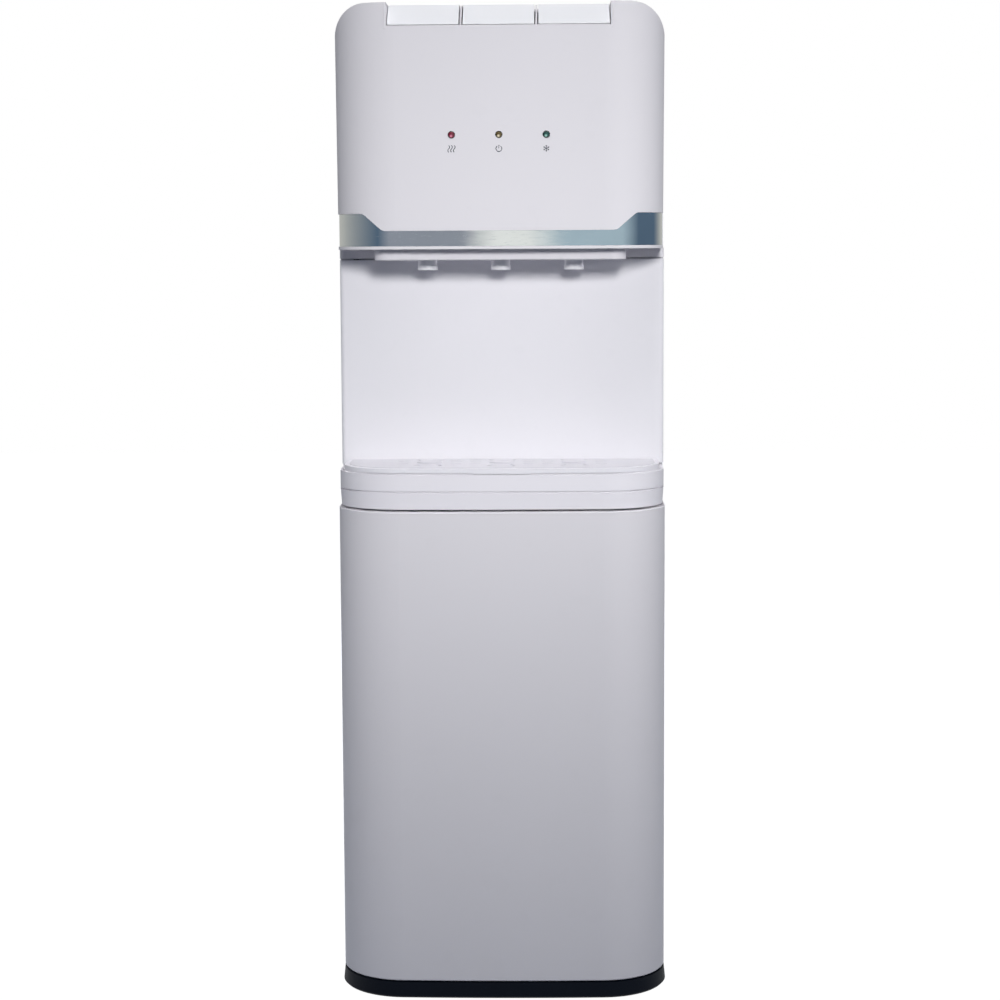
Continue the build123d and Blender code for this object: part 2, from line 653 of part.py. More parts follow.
# Spout cover: shallow box under the ledge that the nozzles come through
SPOUT_FRONT = FRONT + SPOUT_SETBACK
SPOUT_BACK = SEAM - SPLASH - SEAT
SPOUT_INNER_HALF = SPOUT_HALF - SPOUT_WALL
with BuildPart() as spout_cover:
    with BuildSketch(Plane.XY.offset(LEDGE_BOTTOM - SPOUT_HEIGHT)) as spout_outline:
        draw_box(-SPOUT_HALF, SPOUT_HALF, SPOUT_FRONT, SPOUT_BACK)
        fillet(spout_outline.vertices().group_by(Axis.Y)[0], SPOUT_CORNER)
    extrude(amount=SPOUT_HEIGHT - SEAT)
    spout_face = spout_cover.faces().sort_by(Axis.Z)[0]
    chamfer(spout_face.edges().filter_by(lambda edge: edge.center().Y < SPOUT_BACK - SEAT), SPOUT_WALL / 3)
    with BuildSketch(Plane.XY.offset(LEDGE_BOTTOM - SPOUT_HEIGHT + SPOUT_WALL)) as spout_inside:
        draw_box(-SPOUT_INNER_HALF, SPOUT_INNER_HALF, SPOUT_FRONT + SPOUT_WALL, SPOUT_BACK - SPOUT_WALL)
        fillet(spout_inside.vertices().group_by(Axis.Y)[0], SPOUT_CORNER - SPOUT_WALL)
    extrude(amount=SPOUT_HEIGHT, mode=Mode.SUBTRACT)
    with BuildSketch(Plane.XY.offset(LEDGE_BOTTOM - SPOUT_HEIGHT)):
        with GridLocations(TAP_PITCH, 1, 3, 1):
            with Locations((0, TAP_Y)):
                Circle(NOZZLE_RADIUS + FIT)
    extrude(amount=SPOUT_WALL, mode=Mode.SUBTRACT)
save("spout_cover", spout_cover.part)

# Splash panel between the tray and the neck strip
with BuildPart() as splash_panel:
    with BuildSketch(Plane.XY.offset(HOUSING_TOP + SEAT)):
        draw_splash()
    extrude(amount=SPLASH_TOP - HOUSING_TOP - SEAT)
save("splash_panel", splash_panel.part)

# Tray housing: two drafted bands with a groove between and a shadow gap on top, hollowed for the tray
GROOVE_Z = HOUSING_BOTTOM + GROOVE_LEVEL
HOUSING_BACK = SEAM - SEAT
with BuildPart() as tray_housing:
    for low, high, low_inset, high_inset in (
        (HOUSING_BOTTOM, GROOVE_Z, HOUSING_DRAFT, 0),
        (GROOVE_Z, GROOVE_Z + GROOVE_HEIGHT, GROOVE_DEPTH, GROOVE_DEPTH),
        (GROOVE_Z + GROOVE_HEIGHT, HOUSING_TOP - RIM_GAP, 0, 0),
        (HOUSING_TOP - RIM_GAP, HOUSING_TOP, RIM_GAP_DEPTH, RIM_GAP_DEPTH),
    ):
        with BuildSketch(Plane.XY.offset(low)):
            draw_plan(HOUSING_INSET + low_inset, HOUSING_BACK)
        with BuildSketch(Plane.XY.offset(high)):
            draw_plan(HOUSING_INSET + high_inset, HOUSING_BACK)
        loft(ruled=True)
    with BuildSketch(Plane.XY.offset(HOUSING_BOTTOM + HOUSING_FLOOR)):
        draw_plan(HOUSING_WALL, HOUSING_BACK - HOUSING_WALL)
    extrude(amount=HOUSING_HEIGHT, mode=Mode.SUBTRACT)
    with BuildSketch(Plane.XY.offset(HOUSING_BOTTOM)):
        with Locations((HINGE_X - HINGE_PLATE_REACH / 2 + HINGE_PLATE_RADIUS, HINGE_Y)):
            SlotOverall(HINGE_PLATE_REACH + 2 * SEAT, 2 * (HINGE_PLATE_RADIUS + SEAT))
    extrude(amount=HINGE_PLATE, mode=Mode.SUBTRACT)
    with BuildSketch(Plane.XY.offset(HOUSING_BOTTOM)):
        with Locations((MAGNET_X, FRONT + DOOR_THICKNESS / 2 + FRONT_CROWN / 2)):
            Rectangle(MAGNET_LENGTH + 2 * SEAT, MAGNET_WIDTH + 2 * SEAT)
    extrude(amount=MAGNET_HEIGHT, mode=Mode.SUBTRACT)
save("tray_housing", tray_housing.part)

# Drip tray: basin with a rim on the housing, a ledge for the grille and a pull at the front
TRAY_INSET = HOUSING_WALL + 2 * FIT
TRAY_BACK = HOUSING_BACK - TRAY_INSET
BASIN_INSET = TRAY_INSET + TRAY_WALL
GRILLE_BOTTOM = RIM_TOP + GRILLE_PROUD - GRILLE
GRILLE_INSET = BASIN_INSET + FIT
LEDGE_INSET = BASIN_INSET + TRAY_LEDGE
with BuildPart() as drip_tray:
    with BuildSketch(Plane.XY.offset(TRAY_BOTTOM)):
        draw_plan(TRAY_INSET, TRAY_BACK)
    extrude(amount=RIM_TOP - TRAY_BOTTOM)
    with BuildSketch(Plane.XY.offset(RIM_BOTTOM)):
        draw_plan(RIM_SIDE_INSET, TRAY_BACK, RIM_FRONT_INSET)
    extrude(amount=TRAY_RIM)
    with BuildSketch(Plane.XY.offset(RIM_BOTTOM - RIM_GAP + FIT)):
        with Locations((0, FRONT + RIM_FRONT_INSET + FIT + PULL_DEPTH / 2)):
            Rectangle(2 * PULL_HALF, PULL_DEPTH)
    extrude(amount=RIM_GAP + TRAY_RIM / 2)
    with BuildSketch(Plane.XY.offset(TRAY_BOTTOM + TRAY_WALL)):
        draw_plan(LEDGE_INSET, TRAY_BACK - TRAY_WALL - TRAY_LEDGE)
    extrude(amount=HOUSING_HEIGHT, mode=Mode.SUBTRACT)
    with BuildSketch(Plane.XY.offset(GRILLE_BOTTOM - SEAT)):
        draw_plan(BASIN_INSET, TRAY_BACK - TRAY_WALL)
    extrude(amount=HOUSING_HEIGHT, mode=Mode.SUBTRACT)
save("drip_tray", drip_tray.part)

# Drip grille: slotted plate with three raised medallions where the cups stand
GRILLE_BACK = TRAY_BACK - TRAY_WALL - FIT
with BuildPart() as drip_grille:
    with BuildSketch(Plane.XY.offset(GRILLE_BOTTOM)):
        draw_plan(GRILLE_INSET, GRILLE_BACK)
    extrude(amount=GRILLE)
    with BuildSketch(Plane.XY.offset(GRILLE_BOTTOM + GRILLE)):
        with GridLocations(TAP_PITCH, 1, 3, 1):
            with Locations((0, TAP_Y)):
                Circle(MEDALLION)
    extrude(amount=MEDALLION_RISE, taper=MEDALLION_TAPER)
    with BuildSketch(Plane.XY.offset(GRILLE_BOTTOM)):
        for x in TAP_XS.values():
            with Locations((x, TAP_Y)):
                with PolarLocations(MEDALLION + SLOT_LENGTH + SLOT_WIDTH, SLOT_COUNT, 180 / SLOT_COUNT):
                    SlotOverall(SLOT_LENGTH, SLOT_WIDTH)
    extrude(amount=GRILLE, mode=Mode.SUBTRACT)
save("drip_grille", drip_grille.part)

# Door: C-shaped moulding round the front of the bay, with a liner that closes its hollow wall
def draw_door_ring(outer_inset, inner_inset, back, inner_back):
    """C-shaped strip between two insets of the plan, open towards the bay."""
    draw_plan(outer_inset, back)
    with BuildSketch(mode=Mode.PRIVATE) as inside:
        draw_plan(inner_inset, inner_back)
    add(inside.sketch, mode=Mode.SUBTRACT)


STRIKE_Y = FRONT + DOOR_THICKNESS / 2 + FRONT_CROWN / 2
with BuildPart() as door_panel:
    with BuildSketch(Plane.XY.offset(DOOR_BOTTOM)):
        draw_plan(0, DOOR_BACK)
    extrude(amount=DOOR_HEIGHT)
    fillet(door_panel.edges().filter_by(Axis.Z).group_by(Axis.Y)[-1], DOOR_EDGE)
    chamfer(door_panel.faces().filter_by(Axis.Z).edges(), DOOR_BEVEL)
    with BuildSketch(Plane.XY.offset(DOOR_BOTTOM)):
        draw_plan(DOOR_THICKNESS, SEAM)
    extrude(amount=DOOR_HEIGHT, mode=Mode.SUBTRACT)
    with BuildSketch(Plane.XY.offset(DOOR_BOTTOM + DOOR_SKIN)):
        draw_door_ring(DOOR_SKIN, DOOR_THICKNESS + DOOR_SKIN, DOOR_BACK - DOOR_SKIN, SEAM)
    extrude(amount=DOOR_HEIGHT - 2 * DOOR_SKIN, mode=Mode.SUBTRACT)
    with BuildSketch(Plane.XY.offset(DOOR_BOTTOM)):
        with Locations((HINGE_X, HINGE_Y)):
            Circle(HINGE_PIN + RUNNING)
    extrude(amount=DOOR_HEIGHT, mode=Mode.SUBTRACT)
    with BuildSketch(Plane.XY.offset(DOOR_TOP)):
        with Locations((MAGNET_X, STRIKE_Y)):
            Rectangle(MAGNET_LENGTH + 2 * SEAT, MAGNET_WIDTH + 2 * SEAT)
    extrude(amount=-STRIKE, mode=Mode.SUBTRACT)
save("door_panel", door_panel.part)

with BuildPart() as door_liner:
    with BuildSketch(Plane.XY.offset(DOOR_BOTTOM + DOOR_SKIN + SEAT)):
        draw_door_ring(DOOR_THICKNESS - LINER_SKIN, DOOR_THICKNESS, DOOR_BACK - DOOR_SKIN - SEAT, SEAM)
    extrude(amount=DOOR_HEIGHT - 2 * (DOOR_SKIN + SEAT))
save("door_liner", door_liner.part)

with BuildPart() as door_strike:
    with BuildSketch(Plane.XY.offset(DOOR_TOP)):
        with Locations((MAGNET_X, STRIKE_Y)):
            Rectangle(MAGNET_LENGTH, MAGNET_WIDTH)
    extrude(amount=-STRIKE)
save("door_strike", door_strike.part)

with BuildPart() as door_magnet:
    with BuildSketch(Plane.XY.offset(HOUSING_BOTTOM)):
        with Locations((MAGNET_X, STRIKE_Y)):
            Rectangle(MAGNET_LENGTH, MAGNET_WIDTH)
    extrude(amount=MAGNET_HEIGHT)
save("door_magnet", door_magnet.part)

# Hinges: plates let into the housing and the plinth, each with a pin into the door
for name, level, up in (("hinge_top", HOUSING_BOTTOM, 1), ("hinge_bottom", PLINTH_TOP, -1)):
    with BuildPart() as hinge:
        with BuildSketch(Plane.XY.offset(level)):
            with Locations((HINGE_X - HINGE_PLATE_REACH / 2 + HINGE_PLATE_RADIUS, HINGE_Y)):
                SlotOverall(HINGE_PLATE_REACH, 2 * HINGE_PLATE_RADIUS)
        extrude(amount=up * HINGE_PLATE)
        with BuildSketch(Plane.XY.offset(level)):
            with Locations((HINGE_X, HINGE_Y)):
                Circle(HINGE_PIN)
        extrude(amount=-up * HINGE_PIN_LENGTH)
    save(name, hinge.part)

# Bottle bay: liner round the back, platform for the bottle, deck above
with BuildPart() as bay_liner:
    with BuildSketch(Plane.XY.offset(PLINTH_TOP)) as liner_outline:
        draw_box(-BAY_HALF, BAY_HALF, SEAM + SHEET + FIT, BAY_BACK)
        fillet(liner_outline.vertices().group_by(Axis.Y)[-1], BAY_CORNER)
        with BuildSketch(mode=Mode.PRIVATE) as liner_inside:
            draw_box(-BAY_HALF + BAY_WALL, BAY_HALF - BAY_WALL, SEAM, BAY_BACK - BAY_WALL)
            fillet(liner_inside.vertices().group_by(Axis.Y)[-1], BAY_CORNER - BAY_WALL)
        add(liner_inside.sketch, mode=Mode.SUBTRACT)
    extrude(amount=DECK_TOP - DECK - PLINTH_TOP - SEAT)
save("bay_liner", bay_liner.part)

with BuildPart() as bottle_platform:
    with BuildSketch(Plane.XY.offset(PLINTH_TOP)):
        with Locations((0, BOTTLE_Y)):
            Circle(BOTTLE_RADIUS + PLATFORM_RIM + FIT)
    extrude(amount=PLATFORM_HEIGHT)
    with BuildSketch(Plane.XY.offset(PLINTH_TOP + PLATFORM_FLOOR)):
        with Locations((0, BOTTLE_Y)):
            Circle(BOTTLE_RADIUS + FIT)
    extrude(amount=PLATFORM_HEIGHT, mode=Mode.SUBTRACT)
    chamfer(bottle_platform.faces().sort_by(Axis.Z)[-1].edges(), PLATFORM_RIM / 4)
save("bottle_platform", bottle_platform.part)

with BuildPart() as mid_deck:
    with BuildSketch(Plane.XY.offset(DECK_TOP - DECK)):
        draw_box(-PANEL_HALF, PANEL_HALF, SEAM + SHEET + FIT, PANEL_BACK - SHEET - FIT)
        with Locations((PROBE_X, PROBE_Y)):
            Circle(HOSE_RADIUS + FIT, mode=Mode.SUBTRACT)
    extrude(amount=DECK)
save("mid_deck", mid_deck.part)

# Keys: hollow caps with a sloped face, a plunger and two pivot lugs
KEY_PROFILE = [
    (KEY_FRONT, KEY_BOTTOM),
    (KEY_FRONT + KEY_SLOPE, HEAD_TOP),
    (KEY_REAR, HEAD_TOP),
    (KEY_REAR, KEY_BOTTOM),
]
with BuildPart() as key_reach:
    with BuildSketch(Plane.XY.offset(LEDGE_TOP)):
        draw_plan(SHELL + KEY_CLEARANCE, SEAM)
    extrude(amount=HEAD_HEIGHT)

for name, x in TAP_XS.items():
    with BuildPart() as key:
        with BuildSketch(Plane.YZ.offset(x)):
            with BuildLine():
                Polyline(*KEY_PROFILE, close=True)
            make_face()
        extrude(amount=KEY_WIDTH / 2, both=True)
        add(key_reach.part, mode=Mode.INTERSECT)
        top_edges = key.faces().sort_by(Axis.Z)[-1].edges().filter_by(Axis.X)
        fillet(top_edges, KEY_EDGE * 2)
        with BuildSketch(Plane.YZ.offset(x)):
            with BuildLine():
                Polyline(
                    (KEY_FRONT + FRONT_CROWN / 2 + KEY_WALL * 2, KEY_BOTTOM - KEY_WALL),
                    (KEY_FRONT + FRONT_CROWN / 2 + KEY_WALL * 2, KEY_BOTTOM),
                    (KEY_FRONT + KEY_SLOPE + KEY_WALL, HEAD_TOP - KEY_WALL),
                    (KEY_REAR - KEY_WALL, HEAD_TOP - KEY_WALL),
                    (KEY_REAR - KEY_WALL, KEY_BOTTOM - KEY_WALL),
                    close=True,
                )
            make_face()
        extrude(amount=KEY_WIDTH / 2 - KEY_WALL, both=True, mode=Mode.SUBTRACT)
        with BuildSketch(Plane.XY.offset(PLUNGER_BOTTOM)):
            with Locations((x, TAP_Y)):
                Circle(PLUNGER_RADIUS)
        extrude(amount=PLUNGER_DROP - KEY_WALL / 2)
        for lug_x in (x - KEY_WIDTH / 2, x + KEY_WIDTH / 2 - LUG):
            with BuildSketch(Plane.YZ.offset(lug_x)):
                with Locations((PIVOT_Y, PIVOT_Z)):
                    Circle(LUG_RADIUS)
                draw_box(KEY_REAR - KEY_WALL, PIVOT_Y, PIVOT_Z - LUG_RADIUS, PIVOT_Z + LUG_RADIUS)
            extrude(amount=LUG)
            with BuildSketch(Plane.YZ.offset(lug_x)):
                with Locations((PIVOT_Y, PIVOT_Z)):
                    Circle(PIVOT_RADIUS + RUNNING)
            extrude(amount=LUG, mode=Mode.SUBTRACT)
    save(f"key_{name}", key.part)

# Key frame: plate across the head that guides the push rods, with ears for the pivot rod
EAR_XS = [-KEYS_HALF - KEY_SIDE_CLEARANCE / 2 - EAR, -TAP_PITCH / 2 - EAR / 2]
EAR_XS += [TAP_PITCH / 2 - EAR / 2, KEYS_HALF + KEY_SIDE_CLEARANCE / 2]
with BuildPart() as key_frame:
    with BuildSketch(Plane.XY.offset(FRAME_LEVEL)):
        draw_plan(HEAD_FOOT_INSET + SHELL + FIT, FRAME_BACK, SHELL + FIT)
        draw_box(-HALF, HALF, FRONT, FRAME_FRONT, Mode.SUBTRACT)
        with GridLocations(TAP_PITCH, 1, 3, 1):
            with Locations((0, TAP_Y)):
                Circle(ROD_RADIUS + RUNNING, mode=Mode.SUBTRACT)
    extrude(amount=FRAME_PLATE)
    for ear_x in EAR_XS:
        with BuildSketch(Plane.YZ.offset(ear_x)):
            with Locations((PIVOT_Y, PIVOT_Z)):
                Circle(LUG_RADIUS)
            draw_box(PIVOT_Y - LUG_RADIUS, PIVOT_Y + LUG_RADIUS, FRAME_LEVEL, PIVOT_Z)
        extrude(amount=EAR)
        with BuildSketch(Plane.YZ.offset(ear_x)):
            with Locations((PIVOT_Y, PIVOT_Z)):
                Circle(PIVOT_RADIUS + RUNNING / 2)
        extrude(amount=EAR, mode=Mode.SUBTRACT)
save("key_frame", key_frame.part)

with BuildPart() as key_pivot_rod:
    with BuildSketch(Plane.YZ):
        with Locations((PIVOT_Y, PIVOT_Z)):
            Circle(PIVOT_RADIUS)
    extrude(amount=KEYS_HALF + KEY_SIDE_CLEARANCE / 2 + EAR, both=True)
save("key_pivot_rod", key_pivot_rod.part)

# Taps: body on the head floor with the nozzle below, seat inside and the inlet stub behind
NOZZLE_BOTTOM = LEDGE_BOTTOM - NOZZLE_DROP
INLET_BACK = TAP_Y + TAP_RADIUS + TAP_INLET_REACH
CHAMBER_BOTTOM = SEAT_LEVEL + TAP_SEAT_HEIGHT
for name, x in TAP_XS.items():
    with BuildPart() as tap:
        with BuildSketch(Plane((x, TAP_Y, 0), x_dir=(1, 0, 0), z_dir=(0, -1, 0))):
            with BuildLine():
                Polyline(
                    (0, NOZZLE_BOTTOM),
                    (NOZZLE_COLLAR, NOZZLE_BOTTOM),
                    (NOZZLE_COLLAR, NOZZLE_BOTTOM + NOZZLE_COLLAR_HEIGHT),
                    (NOZZLE_RADIUS, NOZZLE_BOTTOM + NOZZLE_COLLAR_HEIGHT + NOZZLE_COLLAR - NOZZLE_RADIUS),
                    (NOZZLE_RADIUS, LEDGE_TOP),
                    (TAP_FLANGE, LEDGE_TOP),
                    (TAP_FLANGE, SEAT_LEVEL),
                    (TAP_RADIUS, SEAT_LEVEL),
                    (TAP_RADIUS, TAP_TOP),
                    (0, TAP_TOP),
                    close=True,
                )
            make_face()
        revolve(axis=Axis((x, TAP_Y, 0), (0, 0, 1)))
        with BuildSketch(Plane.XZ.offset(-INLET_BACK)):
            with Locations((x, INLET_LEVEL)):
                Circle(STUB_RADIUS)
        extrude(amount=TAP_INLET_REACH + TAP_RADIUS / 2)
        with BuildSketch(Plane.XY.offset(NOZZLE_BOTTOM)):
            with Locations((x, TAP_Y)):
                Circle(NOZZLE_BORE)
        extrude(amount=SEAT_LEVEL - NOZZLE_BOTTOM, mode=Mode.SUBTRACT)
        with BuildSketch(Plane.XY.offset(SEAT_LEVEL)):
            with Locations((x, TAP_Y)):
                Circle(TAP_SEAT)
        extrude(amount=TAP_SEAT_HEIGHT, mode=Mode.SUBTRACT)
        with BuildSketch(Plane.XY.offset(CHAMBER_BOTTOM)):
            with Locations((x, TAP_Y)):
                Circle(TAP_CHAMBER)
        extrude(amount=TAP_TOP - TAP_SEAT_HEIGHT - CHAMBER_BOTTOM, mode=Mode.SUBTRACT)
        with BuildSketch(Plane.XY.offset(TAP_TOP)):
            with Locations((x, TAP_Y)):
                Circle(ROD_RADIUS + RUNNING)
        extrude(amount=-TAP_SEAT_HEIGHT, mode=Mode.SUBTRACT)
        with BuildSketch(Plane.XZ.offset(-INLET_BACK)):
            with Locations((x, INLET_LEVEL)):
                Circle(STUB_BORE)
        extrude(amount=TAP_INLET_REACH + TAP_RADIUS / 2, mode=Mode.SUBTRACT)
    save(f"tap_{name}", tap.part)

# Push rods: domed tip under the key, poppet that closes the seat from below
ROD_TOP = PLUNGER_BOTTOM - FIT
POPPET_TOP = SEAT_LEVEL - FIT
for name, x in TAP_XS.items():
    with BuildPart() as push_rod:
        with BuildSketch(Plane((x, TAP_Y, 0), x_dir=(1, 0, 0), z_dir=(0, -1, 0))):
            with BuildLine():
                Polyline(
                    (0, ROD_TOP),
                    (0, POPPET_TOP - POPPET_HEIGHT),
                    (POPPET_RADIUS, POPPET_TOP - POPPET_HEIGHT),
                    (POPPET_RADIUS, POPPET_TOP),
                    (ROD_RADIUS, POPPET_TOP),
                    (ROD_RADIUS, ROD_TOP - ROD_RADIUS),
                )
                RadiusArc((ROD_RADIUS, ROD_TOP - ROD_RADIUS), (0, ROD_TOP), -ROD_RADIUS)
            make_face()
        revolve(axis=Axis((x, TAP_Y, 0), (0, 0, 1)))
    save(f"push_rod_{name}", push_rod.part)

# Indicator lenses through the head front and the board behind them
for name, x in LAMP_XS.items():
    with BuildPart() as indicator:
        with BuildSketch(Plane.XZ.offset(-BOARD_FRONT + SEAT)):
            with Locations((x, LAMP_Z)):
                Circle(LAMP_RADIUS)
        extrude(amount=BOARD_SETBACK - SEAT + LAMP_PROUD)
        chamfer(indicator.faces().sort_by(Axis.Y)[0].edges(), LAMP_PROUD * 3 / 4)
    save(f"indicator_{name}", indicator.part)

with BuildPart() as indicator_board:
    with BuildSketch(Plane.XZ.offset(-BOARD_FRONT)):
        with Locations((0, LAMP_Z)):
            Rectangle(BOARD_LENGTH, BOARD_HEIGHT)
    extrude(amount=-BOARD)
save("indicator_board", indicator_board.part)

# Tank shelf between the side panels
FOAM_FRONT = TANK_FRONT - FOAM
FOAM_HALF = TANK_HALF + FOAM
with BuildPart() as tank_shelf:
    with BuildSketch(Plane.XY.offset(SHELF_LEVEL)):
        draw_box(-PANEL_HALF, PANEL_HALF, FOAM_FRONT, PANEL_BACK - SHEET - FIT)
        with Locations((FEED_X, HOT_Y)):
            Circle(STUB_RADIUS + FIT, mode=Mode.SUBTRACT)
        with Locations((FILL_X, PUMP_Y)):
            Circle(HOSE_RADIUS + FIT, mode=Mode.SUBTRACT)
    extrude(amount=SHELF)
save("tank_shelf", tank_shelf.part)

# Cold tank: rounded vessel with stubs for the cold, room, feed and fill hoses
STUB_FRONT = FOAM_FRONT - STUB_LENGTH
STUB_SIDE = FOAM_HALF + STUB_LENGTH
FEED_END = SHELF_LEVEL - STUB_LENGTH
TANK_INNER_HALF = TANK_HALF - TANK_SKIN
with BuildPart() as cold_tank:
    with BuildSketch(Plane.XY.offset(TANK_BOTTOM)) as tank_outline:
        draw_box(-TANK_HALF, TANK_HALF, TANK_FRONT, TANK_BACK)
        fillet(tank_outline.vertices(), TANK_CORNER)
    extrude(amount=TANK_HEIGHT)
    with BuildSketch(Plane.XZ.offset(-TANK_FRONT - TANK_CORNER)):
        with Locations((0, INLET_LEVEL), (TAP_PITCH, INLET_LEVEL)):
            Circle(STUB_RADIUS)
    extrude(amount=TANK_FRONT + TANK_CORNER - STUB_FRONT)
    with BuildSketch(Plane.YZ.offset(TANK_HALF - TANK_SKIN)):
        with Locations((PUMP_Y, FILL_LEVEL)):
            Circle(STUB_RADIUS)
    extrude(amount=STUB_SIDE - TANK_HALF + TANK_SKIN)
    with BuildSketch(Plane.XY.offset(FEED_END)):
        with Locations((FEED_X, HOT_Y)):
            Circle(STUB_RADIUS)
    extrude(amount=TANK_BOTTOM + TANK_SKIN - FEED_END)
    with BuildSketch(Plane.XY.offset(TANK_BOTTOM + TANK_SKIN)) as tank_inside:
        draw_box(-TANK_INNER_HALF, TANK_INNER_HALF, TANK_FRONT + TANK_SKIN, TANK_BACK - TANK_SKIN)
        fillet(tank_inside.vertices(), TANK_CORNER - TANK_SKIN)
    extrude(amount=TANK_HEIGHT - 2 * TANK_SKIN, mode=Mode.SUBTRACT)
save("cold_tank", cold_tank.part)

# Foam box round the cold tank, with holes for its stubs and a window for the cold block
FOAM_TOP = TANK_BOTTOM + TANK_HEIGHT + FOAM
with BuildPart() as tank_insulation:
    with BuildSketch(Plane.XY.offset(SHELF_LEVEL + SHELF)) as foam_outline:
        draw_box(-FOAM_HALF, FOAM_HALF, FOAM_FRONT, FOAM_BACK)
        fillet(foam_outline.vertices(), TANK_CORNER)
    extrude(amount=FOAM_TOP - SHELF_LEVEL - SHELF)
    with BuildSketch(Plane.XY.offset(TANK_BOTTOM - SEAT)) as foam_inside:
        draw_box(-TANK_HALF - SEAT, TANK_HALF + SEAT, TANK_FRONT - SEAT, TANK_BACK + SEAT)
        fillet(foam_inside.vertices(), TANK_CORNER)
    extrude(amount=TANK_HEIGHT + 2 * SEAT, mode=Mode.SUBTRACT)
    with BuildSketch(Plane.XZ.offset(-TANK_BACK)):
        with Locations((0, COOLER_LEVEL)):
            Rectangle(2 * (BLOCK_HALF + FIT), 2 * (BLOCK_HALF + FIT))
    extrude(amount=-2 * FOAM, mode=Mode.SUBTRACT)
    with BuildSketch(Plane.XZ.offset(-TANK_FRONT)):
        with Locations((0, INLET_LEVEL), (TAP_PITCH, INLET_LEVEL)):
            Circle(STUB_RADIUS + FIT)
    extrude(amount=2 * FOAM, mode=Mode.SUBTRACT)
    with BuildSketch(Plane.YZ.offset(TANK_HALF)):
        with Locations((PUMP_Y, FILL_LEVEL)):
            Circle(STUB_RADIUS + FIT)
    extrude(amount=2 * FOAM, mode=Mode.SUBTRACT)
    with BuildSketch(Plane.XY.offset(SHELF_LEVEL)):
        with Locations((FEED_X, HOT_Y)):
            Circle(STUB_RADIUS + FIT)
    extrude(amount=2 * FOAM, mode=Mode.SUBTRACT)
save("tank_insulation", tank_insulation.part)

# Cooler on the back of the tank: cold block, thermoelectric module, finned sink and fan
with BuildPart() as cold_block:
    with BuildSketch(Plane.XZ.offset(-BLOCK_BACK)):
        with Locations((0, COOLER_LEVEL)):
            Rectangle(2 * BLOCK_HALF, 2 * BLOCK_HALF)
    extrude(amount=BLOCK_DEPTH)
save("cold_block", cold_block.part)

with BuildPart() as peltier_module:
    with BuildSketch(Plane.XZ.offset(-SINK_FRONT)):
        with Locations((0, COOLER_LEVEL)):
            Rectangle(2 * MODULE_HALF, 2 * MODULE_HALF)
    extrude(amount=MODULE)
save("peltier_module", peltier_module.part)

with BuildPart() as heat_sink:
    with BuildSketch(Plane.XZ.offset(-SINK_BACK)):
        with Locations((0, COOLER_LEVEL)):
            with GridLocations((2 * SINK_HALF - FIN) / (FIN_COUNT - 1), 1, FIN_COUNT, 1):
                Rectangle(FIN, 2 * SINK_HALF)
    extrude(amount=SINK_FIN)
    with BuildSketch(Plane.XZ.offset(-SINK_FRONT - SINK_BASE)):
        with Locations((0, COOLER_LEVEL)):
            Rectangle(2 * SINK_HALF, 2 * SINK_HALF)
    extrude(amount=SINK_BASE)
save("heat_sink", heat_sink.part)

BLADE_DEPTH = FAN_DEPTH - 3 * FAN_STRUT
BLADE_MIDDLE = FAN_BACK - 2 * FAN_STRUT - BLADE_DEPTH / 2
with BuildPart() as fan_frame:
    with BuildSketch(Plane.XZ.offset(-FAN_BACK)):
        with Locations((0, COOLER_LEVEL)):
            RectangleRounded(2 * FAN_HALF, 2 * FAN_HALF, FAN_HALF / 10)
            Circle(FAN_BORE, mode=Mode.SUBTRACT)
    extrude(amount=FAN_DEPTH)
    with BuildSketch(Plane.XZ.offset(-FAN_BACK)):
        with Locations((0, COOLER_LEVEL)):
            Circle(FAN_HUB)
            with PolarLocations((FAN_HUB + FAN_BORE) / 2, 3, start_angle=90):
                Rectangle(FAN_BORE - FAN_HUB + 2 * FAN_STRUT, 2 * FAN_STRUT)
    extrude(amount=FAN_STRUT)
    with BuildSketch(Plane.XZ.offset(-FAN_BACK)):
        with Locations((0, COOLER_LEVEL)):
            Circle(FAN_SPINDLE)
    extrude(amount=FAN_DEPTH - FAN_STRUT)
save("fan_frame", fan_frame.part)

with BuildPart() as fan_rotor:
    rotor_plane = Plane.XZ.offset(-FAN_BACK + 2 * FAN_STRUT)
    with BuildSketch(rotor_plane):
        with Locations((0, COOLER_LEVEL)):
            Circle(FAN_HUB)
    extrude(amount=BLADE_DEPTH)
    for blade in range(FAN_BLADES):
        turn = radians(blade * 360 / FAN_BLADES)
        spoke = Vector(cos(turn), 0, sin(turn))
        chord = Vector(-sin(turn), 1, cos(turn))
        root = Vector(0, BLADE_MIDDLE, COOLER_LEVEL) + spoke * (FAN_HUB - FAN_STRUT)
        with BuildSketch(Plane(root, x_dir=chord, z_dir=spoke)):
            Rectangle(BLADE_DEPTH, FAN_STRUT / 2)
        extrude(amount=FAN_BORE - FAN_HUB)
    with BuildSketch(rotor_plane):
        with Locations((0, COOLER_LEVEL)):
            Circle(FAN_SPINDLE + RUNNING)
    extrude(amount=BLADE_DEPTH, mode=Mode.SUBTRACT)
save("fan_rotor", fan_rotor.part)

# Hot tank on its skirt, with an outlet stub on top and a feed stub at the side
RISER_Y = FOAM_FRONT - 2 * HOSE_RADIUS
HOT_OUT_Y = max(HOT_Y - HOT_RADIUS + HOT_OUTLET_INSET, RISER_Y + 2 * HOSE_BEND + STUB_RADIUS)
HOT_FEED_LEVEL = HOT_BOTTOM + HOT_FEED_RISE
HOT_AXIS = Axis((HOT_X, HOT_Y, 0), (0, 0, 1))
HOT_PLANE = Plane((HOT_X, HOT_Y, 0), x_dir=(1, 0, 0), z_dir=(0, -1, 0))


